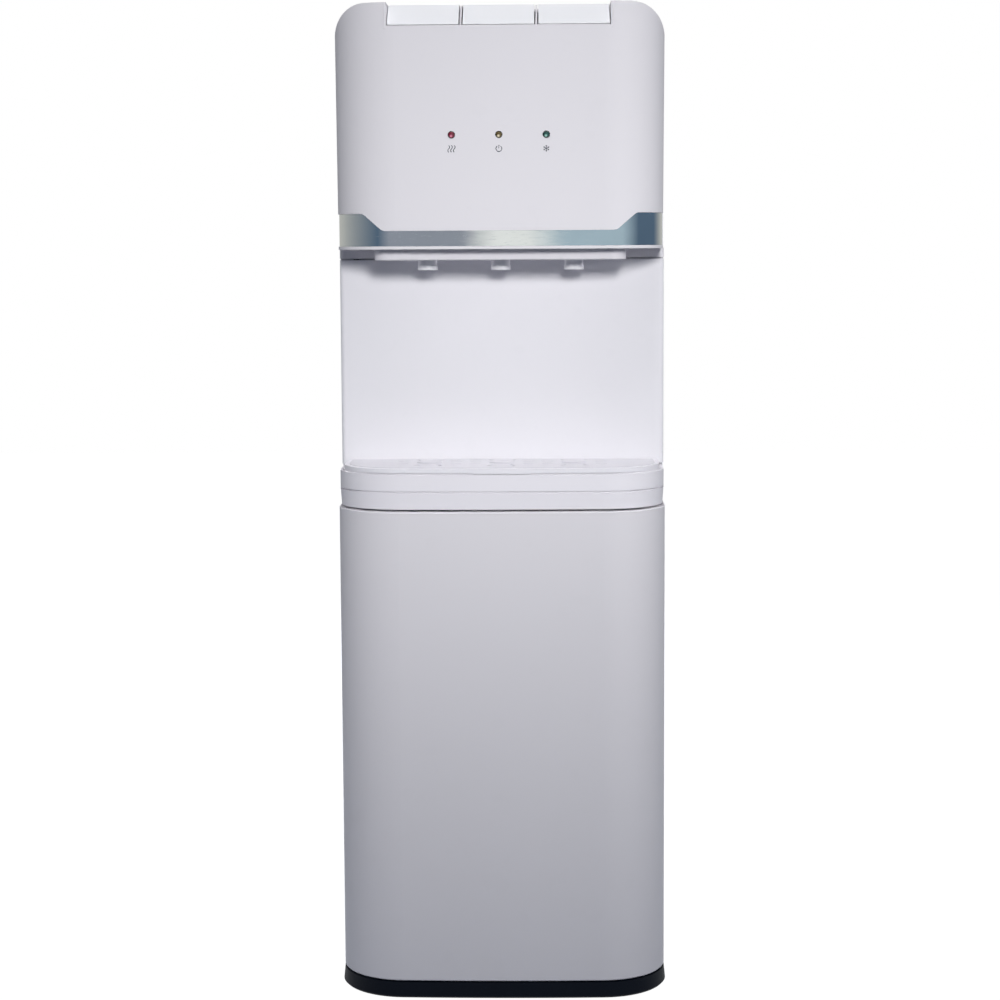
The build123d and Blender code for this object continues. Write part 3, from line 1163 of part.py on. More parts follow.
def draw_vessel(inset):
    """Half section of the hot tank, drawn in from its outside by an inset."""
    radius = HOT_RADIUS - inset
    edge = HOT_EDGE - inset / 2
    low = HOT_BOTTOM + inset
    high = HOT_TOP - inset
    with BuildLine() as rim:
        Polyline(
            (0, low),
            (radius - edge, low),
            (radius, low + edge),
            (radius, high - edge),
            (radius - edge, high),
            (0, high),
            close=True,
        )
    make_face(rim.edges())


with BuildPart() as hot_tank:
    with BuildSketch(HOT_PLANE):
        draw_vessel(0)
    revolve(axis=HOT_AXIS)
    with BuildSketch(Plane.XY.offset(DECK_TOP)):
        with Locations((HOT_X, HOT_Y)):
            Circle(HOT_RADIUS - HOT_SKIRT_INSET)
    extrude(amount=HOT_FOOT + TANK_SKIN)
    with BuildSketch(Plane.XY.offset(HOT_TOP - HOT_EDGE)):
        with Locations((HOT_X, HOT_OUT_Y)):
            Circle(STUB_RADIUS)
    extrude(amount=HOT_EDGE + STUB_LENGTH)
    with BuildSketch(Plane.YZ.offset(HOT_X)):
        with Locations((HOT_Y, HOT_FEED_LEVEL)):
            Circle(STUB_RADIUS)
    extrude(amount=HOT_RADIUS + STUB_LENGTH)
    with BuildSketch(HOT_PLANE):
        draw_vessel(TANK_SKIN)
    revolve(axis=HOT_AXIS, mode=Mode.SUBTRACT)
    with BuildSketch(Plane.XY.offset(DECK_TOP)):
        with Locations((HOT_X, HOT_Y)):
            Circle(HOT_RADIUS - HOT_SKIRT_INSET - TANK_SKIN)
    extrude(amount=HOT_FOOT, mode=Mode.SUBTRACT)
save("hot_tank", hot_tank.part)

# Pump on the deck: base, head, motor and two stubs
PUMP_BOTTOM = DECK_TOP + PUMP_BASE
PUMP_INLET = PUMP_X - PUMP_WIDTH / 2
with BuildPart() as water_pump:
    with BuildSketch(Plane.XY.offset(DECK_TOP)):
        with Locations((PUMP_X, PUMP_Y)):
            RectangleRounded(PUMP_WIDTH + PUMP_BASE, PUMP_DEPTH + PUMP_BASE, PUMP_BASE / 2)
    extrude(amount=PUMP_BASE)
    with BuildSketch(Plane.XY.offset(PUMP_BOTTOM)):
        with Locations((PUMP_X, PUMP_Y)):
            RectangleRounded(PUMP_WIDTH, PUMP_DEPTH, PUMP_BASE)
    extrude(amount=PUMP_HEIGHT)
    with BuildSketch(Plane.XZ.offset(-PUMP_Y)):
        with Locations((PUMP_X, PUMP_BOTTOM + PUMP_HEIGHT / 2)):
            Circle(MOTOR_RADIUS)
    extrude(amount=-PUMP_DEPTH / 2 - MOTOR_LENGTH)
    with BuildSketch(Plane.XY.offset(PUMP_TOP)):
        with Locations((FILL_X, PUMP_Y)):
            Circle(STUB_RADIUS)
    extrude(amount=STUB_LENGTH)
    with BuildSketch(Plane.YZ.offset(PUMP_INLET)):
        with Locations((PUMP_Y, SUCTION_LEVEL)):
            Circle(STUB_RADIUS)
    extrude(amount=-STUB_LENGTH)
save("water_pump", water_pump.part)

# Hoses: straight runs joined by arcs, pushed over the stubs
SHELL_GAP = 1.0
RISER_TURN = HOT_TOP + STUB_LENGTH + HOSE_BEND + SHELL_GAP
TAP_END = TAP_Y + TAP_RADIUS + SHELL_GAP
HOSE_ROUTES = {
    "cold": [(TAP_PITCH, FOAM_FRONT - SHELL_GAP, INLET_LEVEL), (TAP_PITCH, TAP_END, INLET_LEVEL)],
    "room": [(0, FOAM_FRONT - SHELL_GAP, INLET_LEVEL), (0, TAP_END, INLET_LEVEL)],
    "hot": [
        (HOT_X, HOT_OUT_Y, HOT_TOP + SHELL_GAP),
        (HOT_X, HOT_OUT_Y, RISER_TURN),
        (HOT_X, RISER_Y, RISER_TURN),
        (HOT_X, RISER_Y, INLET_LEVEL),
        (HOT_X, TAP_END, INLET_LEVEL),
    ],
    "feed": [
        (FEED_X, HOT_Y, SHELF_LEVEL - SHELL_GAP),
        (FEED_X, HOT_Y, HOT_FEED_LEVEL),
        (HOT_X + HOT_RADIUS + SHELL_GAP, HOT_Y, HOT_FEED_LEVEL),
    ],
    "fill": [
        (FILL_X, PUMP_Y, PUMP_TOP + SHELL_GAP),
        (FILL_X, PUMP_Y, FILL_LEVEL),
        (FOAM_HALF + SHELL_GAP, PUMP_Y, FILL_LEVEL),
    ],
}
SUCTION_TURN = PUMP_INLET - STUB_LENGTH - HOSE_BEND - SHELL_GAP
SUCTION_ROUTE = [
    (PROBE_X, PROBE_Y, PROBE_TOP + SEAT),
    (PROBE_X, PROBE_Y, SUCTION_LEVEL),
    (SUCTION_TURN, PROBE_Y, SUCTION_LEVEL),
    (SUCTION_TURN, PUMP_Y, SUCTION_LEVEL),
    (PUMP_INLET - SHELL_GAP, PUMP_Y, SUCTION_LEVEL),
]


def sweep_hose(route):
    """Tube along a route inside the part that is being built."""
    with BuildLine() as path:
        if len(route) > 2:
            FilletPolyline(*route, radius=HOSE_BEND)
        else:
            Line(*route)
    with BuildSketch(Plane(path.line @ 0, z_dir=path.line % 0)) as section:
        Circle(HOSE_RADIUS)
        Circle(HOSE_BORE, mode=Mode.SUBTRACT)
    sweep(section.sketch, path=path.line)


with BuildPart() as water_hoses:
    for route in HOSE_ROUTES.values():
        sweep_hose(route)
save("water_hoses", water_hoses.part)

with BuildPart() as suction_hose:
    sweep_hose(SUCTION_ROUTE)
save("suction_hose", suction_hose.part)

# Bottle probe: slotted tube with the bottle cap on it, held by a clip on the bay's side wall
PROBE_BORE = PROBE_RADIUS - HOLDER_WALL
with BuildPart() as bottle_probe:
    with BuildSketch(Plane.XY.offset(PROBE_BOTTOM)):
        with Locations((PROBE_X, PROBE_Y)):
            Circle(PROBE_RADIUS)
    extrude(amount=PROBE_TOP - PROBE_BOTTOM)
    with BuildSketch(Plane.XY.offset(PROBE_TOP - PROBE_CAP_HEIGHT)):
        with Locations((PROBE_X, PROBE_Y)):
            Circle(PROBE_CAP_RADIUS)
    extrude(amount=PROBE_CAP_HEIGHT)
    chamfer(bottle_probe.edges().filter_by(GeomType.CIRCLE).group_by(SortBy.RADIUS)[-1], HOLDER_WALL / 2)
    with BuildSketch(Plane.XY.offset(PROBE_BOTTOM)):
        with Locations((PROBE_X, PROBE_Y)):
            Circle(PROBE_BORE)
    extrude(amount=PROBE_TOP - PROBE_BOTTOM - HOLDER_WALL, mode=Mode.SUBTRACT)
    with BuildSketch(Plane.XY.offset(PROBE_BOTTOM)):
        with Locations((PROBE_X, PROBE_Y)):
            Rectangle(4 * PROBE_RADIUS, PROBE_BORE)
            Rectangle(PROBE_BORE, 4 * PROBE_RADIUS)
    extrude(amount=PROBE_CAP_HEIGHT, mode=Mode.SUBTRACT)
save("bottle_probe", bottle_probe.part)

HOLDER_RADIUS = PROBE_RADIUS + SEAT + HOLDER_WALL
with BuildPart() as probe_holder:
    with BuildSketch(Plane.XY.offset(HOLDER_LEVEL)):
        with Locations((PROBE_X, PROBE_Y)):
            Circle(HOLDER_RADIUS)
        draw_box(-BAY_HALF + BAY_WALL, PROBE_X, PROBE_Y - HOLDER_WALL, PROBE_Y + HOLDER_WALL)
        with Locations((-BAY_HALF + BAY_WALL + HOLDER_WALL / 2, PROBE_Y)):
            Rectangle(HOLDER_WALL, 2 * HOLDER_RADIUS)
        with Locations((PROBE_X, PROBE_Y)):
            Circle(PROBE_RADIUS + SEAT, mode=Mode.SUBTRACT)
        with Locations((PROBE_X + HOLDER_RADIUS, PROBE_Y)):
            Rectangle(HOLDER_RADIUS, PROBE_RADIUS, mode=Mode.SUBTRACT)
    extrude(amount=HOLDER_HEIGHT)
save("probe_holder", probe_holder.part)

# Control board on stand-offs at the side panel, with its transformer and relays
with BuildPart() as control_board:
    with BuildSketch(Plane.YZ.offset(CONTROL_X)):
        with Locations((CONTROL_Y, CONTROL_LEVEL)):
            Rectangle(CONTROL_DEPTH, CONTROL_HEIGHT)
    extrude(amount=BOARD)
    with BuildSketch(Plane.YZ.offset(-HALF + SHEET + SEAT)):
        with Locations((CONTROL_Y, CONTROL_LEVEL)):
            with GridLocations(CONTROL_DEPTH - 4 * POST_RADIUS, CONTROL_HEIGHT - 4 * POST_RADIUS, 2, 2):
                Circle(POST_RADIUS)
    extrude(amount=CONTROL_STAND_OFF)
    with BuildSketch(Plane.YZ.offset(CONTROL_X + BOARD)):
        with Locations((CONTROL_Y + CONTROL_DEPTH / 4, CONTROL_LEVEL)):
            Rectangle(CONTROL_DEPTH / 3, CONTROL_HEIGHT / 3)
        with Locations((CONTROL_Y - CONTROL_DEPTH / 4, CONTROL_LEVEL)):
            with GridLocations(1, CONTROL_HEIGHT / 4, 1, 3):
                Rectangle(CONTROL_DEPTH / 4, CONTROL_HEIGHT / 6)
    extrude(amount=RELAY_HEIGHT)
save("control_board", control_board.part)

# Switches and cord bush on the back panel
ROCKER_XS = {"heat": SWITCH_X - SWITCH_WIDTH / 4, "cool": SWITCH_X + SWITCH_WIDTH / 4}
with BuildPart() as switch_housing:
    with BuildSketch(Plane.XZ.offset(-PANEL_BACK)):
        with Locations((SWITCH_X, SWITCH_LEVEL)):
            RectangleRounded(SWITCH_WIDTH + 3 * SWITCH_BEZEL, SWITCH_HEIGHT + 3 * SWITCH_BEZEL, SWITCH_BEZEL)
    extrude(amount=-SWITCH_BEZEL)
    with BuildSketch(Plane.XZ.offset(-PANEL_BACK)):
        with Locations((SWITCH_X, SWITCH_LEVEL)):
            Rectangle(SWITCH_WIDTH, SWITCH_HEIGHT)
    extrude(amount=SWITCH_DEPTH)
    with BuildSketch(Plane.XZ.offset(-PANEL_BACK - SWITCH_BEZEL)):
        with Locations(*[(x, SWITCH_LEVEL) for x in ROCKER_XS.values()]):
            Rectangle(ROCKER_WIDTH + 2 * FIT, ROCKER_HEIGHT + 8 * FIT)
    extrude(amount=SWITCH_BEZEL + ROCKER_THICKNESS, mode=Mode.SUBTRACT)
    with BuildSketch(Plane.YZ.offset(ROCKER_XS["heat"] - ROCKER_WIDTH / 2 - ROCKER_PIN)):
        with Locations((PANEL_BACK - ROCKER_PIN, SWITCH_LEVEL)):
            Circle(ROCKER_PIN + RUNNING)
    extrude(amount=ROCKER_XS["cool"] - ROCKER_XS["heat"] + ROCKER_WIDTH + 2 * ROCKER_PIN, mode=Mode.SUBTRACT)
save("switch_housing", switch_housing.part)

for name, x in ROCKER_XS.items():
    tilt = radians(ROCKER_TILT)
    half_height = ROCKER_HEIGHT / 2
    with BuildPart() as rocker:
        rocker_plane = Plane(
            (x - ROCKER_WIDTH / 2, PANEL_BACK - ROCKER_PIN, SWITCH_LEVEL),
            x_dir=(0, cos(tilt), sin(tilt)),
            z_dir=(1, 0, 0),
        )
        with BuildSketch(rocker_plane):
            with BuildLine():
                Polyline(
                    (-ROCKER_THICKNESS / 2, -half_height / 2),
                    (0, -half_height),
                    (ROCKER_THICKNESS / 2, -half_height),
                    (ROCKER_THICKNESS / 3, 0),
                    (ROCKER_THICKNESS / 2, half_height),
                    (0, half_height),
                    (-ROCKER_THICKNESS / 2, half_height / 2),
                    close=True,
                )
            make_face()
        extrude(amount=ROCKER_WIDTH)
        with BuildSketch(rocker_plane.offset(-ROCKER_PIN + SEAT)):
            Circle(ROCKER_PIN)
        extrude(amount=ROCKER_WIDTH + 2 * (ROCKER_PIN - SEAT))
    save(f"rocker_{name}", rocker.part)

with BuildPart() as cord_bush:
    with BuildSketch(Plane.XZ.offset(-PANEL_BACK)):
        with Locations((SWITCH_X, BUSH_LEVEL)):
            Circle(BUSH_FLANGE)
    extrude(amount=-SHELL)
    with BuildSketch(Plane.XZ.offset(-PANEL_BACK - BUSH_RADIUS)):
        with Locations((SWITCH_X, BUSH_LEVEL)):
            Circle(BUSH_RADIUS)
    extrude(amount=BUSH_LENGTH)
    with BuildSketch(Plane.XZ.offset(-PANEL_BACK - BUSH_RADIUS)):
        with Locations((SWITCH_X, BUSH_LEVEL)):
            Circle(BUSH_BORE)
    extrude(amount=BUSH_LENGTH, mode=Mode.SUBTRACT)
save("cord_bush", cord_bush.part)
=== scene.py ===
"""Looks of a floor-standing water dispenser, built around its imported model."""

import json
import math

import bmesh
import bpy
from bpy.props import FloatProperty, FloatVectorProperty, PointerProperty
from mathutils import Matrix, Vector


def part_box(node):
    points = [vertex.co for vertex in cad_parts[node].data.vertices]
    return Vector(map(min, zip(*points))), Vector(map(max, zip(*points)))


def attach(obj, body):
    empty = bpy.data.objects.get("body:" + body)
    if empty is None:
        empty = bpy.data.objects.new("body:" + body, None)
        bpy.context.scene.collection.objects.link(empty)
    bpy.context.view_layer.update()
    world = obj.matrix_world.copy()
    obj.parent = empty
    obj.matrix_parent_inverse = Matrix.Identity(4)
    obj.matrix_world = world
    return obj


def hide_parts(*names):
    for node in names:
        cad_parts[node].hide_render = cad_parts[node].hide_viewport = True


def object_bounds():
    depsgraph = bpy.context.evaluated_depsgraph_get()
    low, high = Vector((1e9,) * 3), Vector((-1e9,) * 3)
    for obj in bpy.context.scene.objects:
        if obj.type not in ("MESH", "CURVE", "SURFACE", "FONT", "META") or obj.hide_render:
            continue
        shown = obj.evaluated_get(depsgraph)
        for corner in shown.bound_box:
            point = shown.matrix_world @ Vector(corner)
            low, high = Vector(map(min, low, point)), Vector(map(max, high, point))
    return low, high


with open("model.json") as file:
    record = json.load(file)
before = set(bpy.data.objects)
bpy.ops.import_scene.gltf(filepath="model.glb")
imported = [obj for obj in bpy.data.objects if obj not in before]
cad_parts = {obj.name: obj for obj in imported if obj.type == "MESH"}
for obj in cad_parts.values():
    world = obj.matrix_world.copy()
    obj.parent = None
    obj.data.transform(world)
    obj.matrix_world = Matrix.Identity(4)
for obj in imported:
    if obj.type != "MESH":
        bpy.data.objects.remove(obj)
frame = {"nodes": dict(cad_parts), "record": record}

bl_info = {
    "name": "Water dispenser looks",
    "version": (1, 0, 0),
    "blender": (4, 5, 0),
    "location": "View3D > Sidebar > Dispenser",
    "description": "Finishes, lamps, symbols, screws and stage of a water dispenser",
    "category": "Object",
}

NODES = frame["nodes"]
CAD_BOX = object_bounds()
MM = 0.001
LAMPS = ("hot", "power", "cold")
SWITCHES = {"heat": "rocker_red", "cool": "rocker_green"}
# dark ring round a lamp: bore as a share of the lens, seat in the panel, height, crest as a share of it
RING_BORE = 1.02
RING_SEAT = 0.4 * MM
RING_PROUD = 0.25 * MM
RING_CREST = 1.2
# panel screw: shank, head, and the head's flat and cross as shares of its radius
SHANK_RADIUS = 1.7 * MM
HEAD_HEIGHT = 2.0 * MM
HEAD_FLAT = 0.62
CROSS_REACH = 0.52
CROSS_HALF = 0.13
SAME_LEVEL = 1e-7
FLOOR_HALF = 6.0
FLOOR_GLOW = 1.43
FLOOR_GLOW_SHARE = 0.7
ROOM_RADIUS = 2.9
# the mirrored room: a white window ahead, a shaded wall left of it, a lit wall right of it, a dim corner on each
# side and a pale wall behind; bearings in degrees, 0 is straight ahead of the dispenser, + is towards +X
PALE_WALL = (190, 190, 185)
DIM_CORNER = (90, 110, 130)
SHADED_WALL = (155, 160, 170)
LIT_WALL = (180, 200, 210)
WINDOW = (255, 255, 250)
ROOM_STOPS = (
    (-130, PALE_WALL),
    (-45, DIM_CORNER),
    (-25, SHADED_WALL),
    (-4, SHADED_WALL),
    (-2, WINDOW),
    (2, WINDOW),
    (4, LIT_WALL),
    (45, LIT_WALL),
    (75, DIM_CORNER),
    (115, DIM_CORNER),
    (145, PALE_WALL),
)


def srgb(red, green, blue):
    """Linear colour from the 0 to 255 levels that a screen shows."""
    levels = [level / 255 for level in (red, green, blue)]
    return tuple(c / 12.92 if c <= 0.04045 else ((c + 0.055) / 1.055) ** 2.4 for c in levels)


def box_middle(node):
    """Middle of a node's box at rest."""
    low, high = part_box(node)
    return (Vector(low) + Vector(high)) / 2


def colour_property(name, description, levels):
    return FloatVectorProperty(
        name=name, description=description, subtype="COLOR", size=3, min=0, max=1, default=srgb(*levels)
    )


def length_property(name, description, default):
    return FloatProperty(name=name, description=description, unit="LENGTH", default=default)


def power_property(name, description, default):
    return FloatProperty(name=name, description=description, unit="POWER", default=default)


def angle_property(name, description, degrees):
    return FloatProperty(name=name, description=description, subtype="ANGLE", default=math.radians(degrees))


class DispenserColours(bpy.types.PropertyGroup):
    """Colours of the finishes."""

    shell: colour_property("Shell", "Satin plastic of the head and door", (226, 223, 227))
    housing: colour_property("Housing", "Satin plastic of the tray housing", (238, 235, 240))
    splash: colour_property("Splash", "Plastic of the splash panel", (240, 238, 242))
    tray: colour_property("Tray", "Plastic of the drip tray", (238, 236, 241))
    grille: colour_property("Grille", "Plastic of the drip grille", (214, 212, 218))
    key: colour_property("Keys", "Polished plastic of the keys", (244, 244, 247))
    steel: colour_property("Cabinet", "Powder coat of the side and back panels", (222, 221, 226))
    plinth: colour_property("Plinth", "Black plastic of the plinth", (5, 10, 20))
    trim: colour_property("Trim", "Black plastic of the fan, switches and bush", (26, 27, 30))
    band: colour_property("Band", "Bright plating of the band", (226, 230, 232))
    # white plastic of the spouts, made lighter than the other whites to offset the spout cover's shadow on them:
    # partly painted light
    nozzle: colour_property("Nozzles", "Plastic of the spouts", (248, 247, 249))
    liner: colour_property("Liner", "Plastic of the bottle bay", (226, 227, 230))
    ink: colour_property("Ink", "Printed symbols", (74, 76, 84))


class DispenserSizes(bpy.types.PropertyGroup):
    """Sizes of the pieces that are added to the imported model."""

    lens_dome: length_property("Lens dome", "How far a lamp's lens stands out of its hole", 0.9 * MM)
    ring_width: length_property("Lamp ring", "Width of the dark ring round a lens", 0.55 * MM)
    symbol_height: length_property("Symbol height", "Height of a printed symbol", 6.4 * MM)
    symbol_line: length_property("Symbol line", "Line width of a printed symbol", 0.75 * MM)
    symbol_drop: length_property("Symbol drop", "From a lamp down to its symbol", 13.5 * MM)
    ink_depth: length_property("Ink depth", "Thickness of the print", 0.06 * MM)
    recess_depth: length_property("Screw recess", "Depth of the cross in a screw head", 1.0 * MM)
    mark_height: length_property("Switch mark", "Height of a mark on a switch", 5.0 * MM)
    mark_line: length_property("Switch mark line", "Line width of a mark on a switch", 1.2 * MM)


class DispenserStage(bpy.types.PropertyGroup):
    """Camera and light."""

    camera: FloatVectorProperty(
        name="Camera", description="Where the camera stands", subtype="TRANSLATION", unit="LENGTH",
        default=(0.0437, -2.427, 0.7603),
    )
    yaw: angle_property("Yaw", "Turn to the left", 1.13)
    pitch: angle_property("Pitch", "Tilt down", 6.35)
    roll: angle_property("Roll", "Tilt sideways", -0.31)
    lens: FloatProperty(name="Lens", description="Focal length in millimetres", default=82.8)
    front_power: power_property("Front lamp", "Power of the narrow lamp in front", 2.77)
    top_power: power_property("Top lamp", "Power of the overhead lamp", 5.0)
    right_power: power_property("Right lamp", "Power of the lamp on the right", 1.7)
    left_power: power_property("Left lamp", "Power of the lamp on the left", 1.05)
    back_power: power_property("Back lamp", "Power of the lamp behind", 36.0)
    fill: FloatProperty(name="Fill", description="Strength of the even light from all round", default=0.1)


class Value:
    """A shader socket that takes Python arithmetic; each sum adds a Math node."""

    def __init__(self, shader, socket):
        self.shader = shader
        self.socket = socket

    def math(self, operation, *values):
        sockets = dict(enumerate(values))
        return self.shader.add("ShaderNodeMath", {"operation": operation}, sockets)

    def __add__(self, other):
        return self.math("ADD", self, other)

    __radd__ = __add__

    def __sub__(self, other):
        return self.math("SUBTRACT", self, other)

    def __rsub__(self, other):
        return self.math("SUBTRACT", other, self)

    def __mul__(self, other):
        return self.math("MULTIPLY", self, other)

    __rmul__ = __mul__

    def __truediv__(self, other):
        return self.math("DIVIDE", self, other)

    def __gt__(self, other):
        return self.math("GREATER_THAN", self, other)


class Shader:
    """A material or world whose nodes are added one at a time."""

    def __init__(self, tree):
        self.tree = tree
        tree.nodes.clear()

    def add(self, kind, settings=None, sockets=None, output=0):
        node = self.tree.nodes.new(kind)
        for name, value in (settings or {}).items():
            if name == "stops":
                self.set_stops(node.color_ramp, value)
            else:
                setattr(node, name, value)
        for name, value in (sockets or {}).items():
            if isinstance(value, Value):
                self.tree.links.new(value.socket, node.inputs[name])
            else:
                node.inputs[name].default_value = value
        return Value(self, node.outputs[output]) if node.outputs else None

    @staticmethod
    def set_stops(ramp, stops):
        while len(ramp.elements) < len(stops):
            ramp.elements.new(1.0)
        for element, (place, colour) in zip(ramp.elements, stops):
            element.position = place
            element.color = (*colour, 1.0)

    def object_place(self):
        return self.add("ShaderNodeTexCoord", output=3)

    def stretched(self, scale):
        return self.add("ShaderNodeMapping", sockets={"Vector": self.object_place(), "Scale": scale})

    def noise(self, scale, detail=2.0, vector=None, roughness=0.5):
        place = vector or self.object_place()
        sockets = {"Vector": place, "Scale": scale, "Detail": detail, "Roughness": roughness}
        return self.add("ShaderNodeTexNoise", sockets=sockets)

    def mix(self, factor, first, second):
        sockets = {0: factor, 6: first, 7: second}
        return self.add("ShaderNodeMix", {"data_type": "RGBA", "clamp_factor": True}, sockets, output=2)

    def along(self, axis):
        return self.add("ShaderNodeSeparateXYZ", sockets={0: self.object_place()}, output=axis)

    def bump(self, height, depth, strength=0.4, edge=0.0):
        sockets = {"Height": height, "Distance": depth, "Strength": strength}
        if edge:
            sockets["Normal"] = self.add("ShaderNodeBevel", {"samples": 4}, {"Radius": edge})
        return self.add("ShaderNodeBump", sockets=sockets)

    def surface(self, sockets):
        bsdf = self.add("ShaderNodeBsdfPrincipled", sockets=sockets)
        self.add("ShaderNodeOutputMaterial", sockets={"Surface": bsdf})


def new_material(name):
    material = bpy.data.materials.new(f"{name}_finish")
    material.use_nodes = True
    return material


def new_finish(name):
    return Shader(new_material(name).node_tree)


def colour4(colour, level=1.0):
    return (*[channel * level for channel in colour], 1.0)


def moulded_plastic(
    name, colour, roughness, grain=900.0, depth=0.00004, edge=0.0007, coat=0.0, mirror=0.5
):
    """Moulded plastic: a fine grain, uneven gloss, slight tone drift and softened edges."""
    shader = new_finish(name)
    drift = shader.noise(5.0, 3.0)
    grime = shader.noise(38.0, 4.0)
    tone = shader.mix(drift, colour4(colour, 0.965), colour4(colour, 1.0))
    tone = shader.mix((grime > 0.66) * 0.12, tone, colour4(colour, 0.93))
    fine = shader.noise(grain, 2.0)
    shader.surface({
        "Base Color": tone,
        "Roughness": roughness + (grime - 0.5) * 0.14,
        "Specular IOR Level": mirror,
        "Coat Weight": coat,
        "Coat Roughness": 0.2,
        "Normal": shader.bump(fine, depth, 0.35, edge),
    })


def powder_coat(name, colour):
    """Painted sheet steel: orange peel over a slow ripple of the sheet."""
    shader = new_finish(name)
    peel = shader.noise(420.0, 3.0)
    ripple = shader.noise(6.0, 1.0)
    tone = shader.mix(shader.noise(22.0, 4.0), colour4(colour, 0.96), colour4(colour, 1.0))
    shader.surface({
        "Base Color": tone,
        "Roughness": 0.42 + (peel - 0.5) * 0.18,
        "Normal": shader.bump(peel * 0.6 + ripple, 0.00012, 0.4, 0.0006),
    })


def bright_plating(name, colour):
    """Plated band: mirror finish with a faint haze, wiping marks and hairline scratches."""
    shader = new_finish(name)
    haze = shader.noise(26.0, 5.0)
    wipes = shader.noise(9.0, 3.0, shader.stretched((1.0, 1.0, 7.0)))
    scratches = shader.noise(160.0, 2.0, shader.stretched((0.4, 0.4, 9.0)))
    tone = shader.mix(haze, colour4(colour, 0.86), colour4(colour, 1.0))
    shader.surface({
        "Base Color": tone,
        "Metallic": 1.0,
        "Roughness": 0.035 + haze * 0.05 + (scratches > 0.66) * 0.14,
        "Normal": shader.bump(wipes, 0.0016, 0.22),
    })


def brushed_steel(name, colour):
    """Bare steel with brushing marks."""
    shader = new_finish(name)
    marks = shader.noise(240.0, 4.0, shader.stretched((1.0, 1.0, 0.04)))
    tone = shader.mix(marks, colour4(colour, 0.78), colour4(colour, 1.0))
    shader.surface({
        "Base Color": tone,
        "Metallic": 1.0,
        "Roughness": 0.28 + marks * 0.2,
        "Normal": shader.bump(marks, 0.00006, 0.3),
    })


def extruded_alloy(name, colour):
    """Aluminium with the die lines of an extrusion."""
    shader = new_finish(name)
    lines = shader.noise(700.0, 2.0, shader.stretched((1.0, 1.0, 0.02)))
    tone = shader.mix(lines, colour4(colour, 0.82), colour4(colour, 1.0))
    shader.surface({
        "Base Color": tone,
        "Metallic": 1.0,
        "Roughness": 0.34 + lines * 0.15,
        "Normal": shader.bump(lines, 0.00005, 0.4),
    })


def soft_rubber(name, colour, roughness=0.75):
    """Rubber or silicone: matte with a dusty bloom."""
    shader = new_finish(name)
    bloom = shader.noise(60.0, 5.0)
    tone = shader.mix(bloom, colour4(colour, 0.85), colour4(colour, 1.12))
    shader.surface({
        "Base Color": tone,
        "Roughness": roughness + (bloom - 0.5) * 0.2,
        "Normal": shader.bump(shader.noise(1300.0), 0.00005, 0.4),
    })


def bead_foam(name, colour):
    """Expanded bead foam: packed round cells."""
    shader = new_finish(name)
    sockets = {"Vector": shader.object_place(), "Scale": 260.0}
    cells = shader.add("ShaderNodeTexVoronoi", {"feature": "F1"}, sockets)
    tone = shader.mix(cells * 1.4, colour4(colour, 1.0), colour4(colour, 0.84))
    shader.surface({
        "Base Color": tone,
        "Roughness": 0.85 - cells * 0.1,
        "Normal": shader.bump(1 - cells, 0.0008, 0.5),
    })


def circuit_board(name, colour):
    """Solder mask with paler tracks and pads."""
    shader = new_finish(name)
    sockets = {"Vector": shader.object_place(), "Scale": 150.0}
    grid = shader.add("ShaderNodeTexVoronoi", {"feature": "F1", "distance": "CHEBYCHEV"}, sockets)
    tracks = grid > 0.46
    tone = shader.mix(tracks * 0.7, colour4(colour, 1.0), colour4(srgb(60, 128, 74)))
    shader.surface({
        "Base Color": tone,
        "Roughness": 0.34 + tracks * 0.12,
        "Normal": shader.bump(tracks, 0.00005, 0.5),
    })


def sintered(name, colour, roughness):
    """Ceramic or ferrite: fine pores and a dry surface."""
    shader = new_finish(name)
    pores = shader.noise(1500.0, 4.0)
    tone = shader.mix(pores, colour4(colour, 0.82), colour4(colour, 1.08))
    shader.surface({
        "Base Color": tone,
        "Roughness": roughness + (pores - 0.5) * 0.2,
        "Normal": shader.bump(pores, 0.00006, 0.5),
    })


def tinted_lens(name, node, colour, edge_colour, glint_colour):
    """Clear tinted lens: uneven tint, and a painted highlight, a pale spot below the middle."""
    shader = new_finish(name)
    swirl = shader.noise(900.0, 2.0)
    tone = shader.mix(swirl * 1.2 - 0.1, colour4(edge_colour), colour4(colour))
    low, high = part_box(node)
    radius = (high[0] - low[0]) / 2
    # painted highlight: a pale spot a little left of and below the lens's middle, standing in for a glint
    glint_spot = box_middle(node) + Vector((-0.12 * radius, 0, -0.42 * radius))
    glint_spot.y = low[1]
    sockets = {0: shader.object_place(), 1: glint_spot}
    away = shader.add("ShaderNodeVectorMath", {"operation": "DISTANCE"}, sockets, output=1)
    # blend the painted highlight's colour in near that spot
    tone = shader.mix(1.5 - away / (0.36 * radius), tone, colour4(glint_colour))
    shader.surface({
        "Base Color": tone,
        "Roughness": 0.06 + swirl * 0.08,
        "IOR": 1.5,
        "Coat Weight": 1.0,
        "Coat Roughness": 0.03,
    })


def printed_ink(name, colour):
    """Screen-printed ink with a slightly uneven film."""
    shader = new_finish(name)
    film = shader.noise(800.0, 3.0)
    tone = shader.mix(film, colour4(colour, 0.85), colour4(colour, 1.1))
    shader.surface({"Base Color": tone, "Roughness": 0.5 + (film - 0.5) * 0.2})


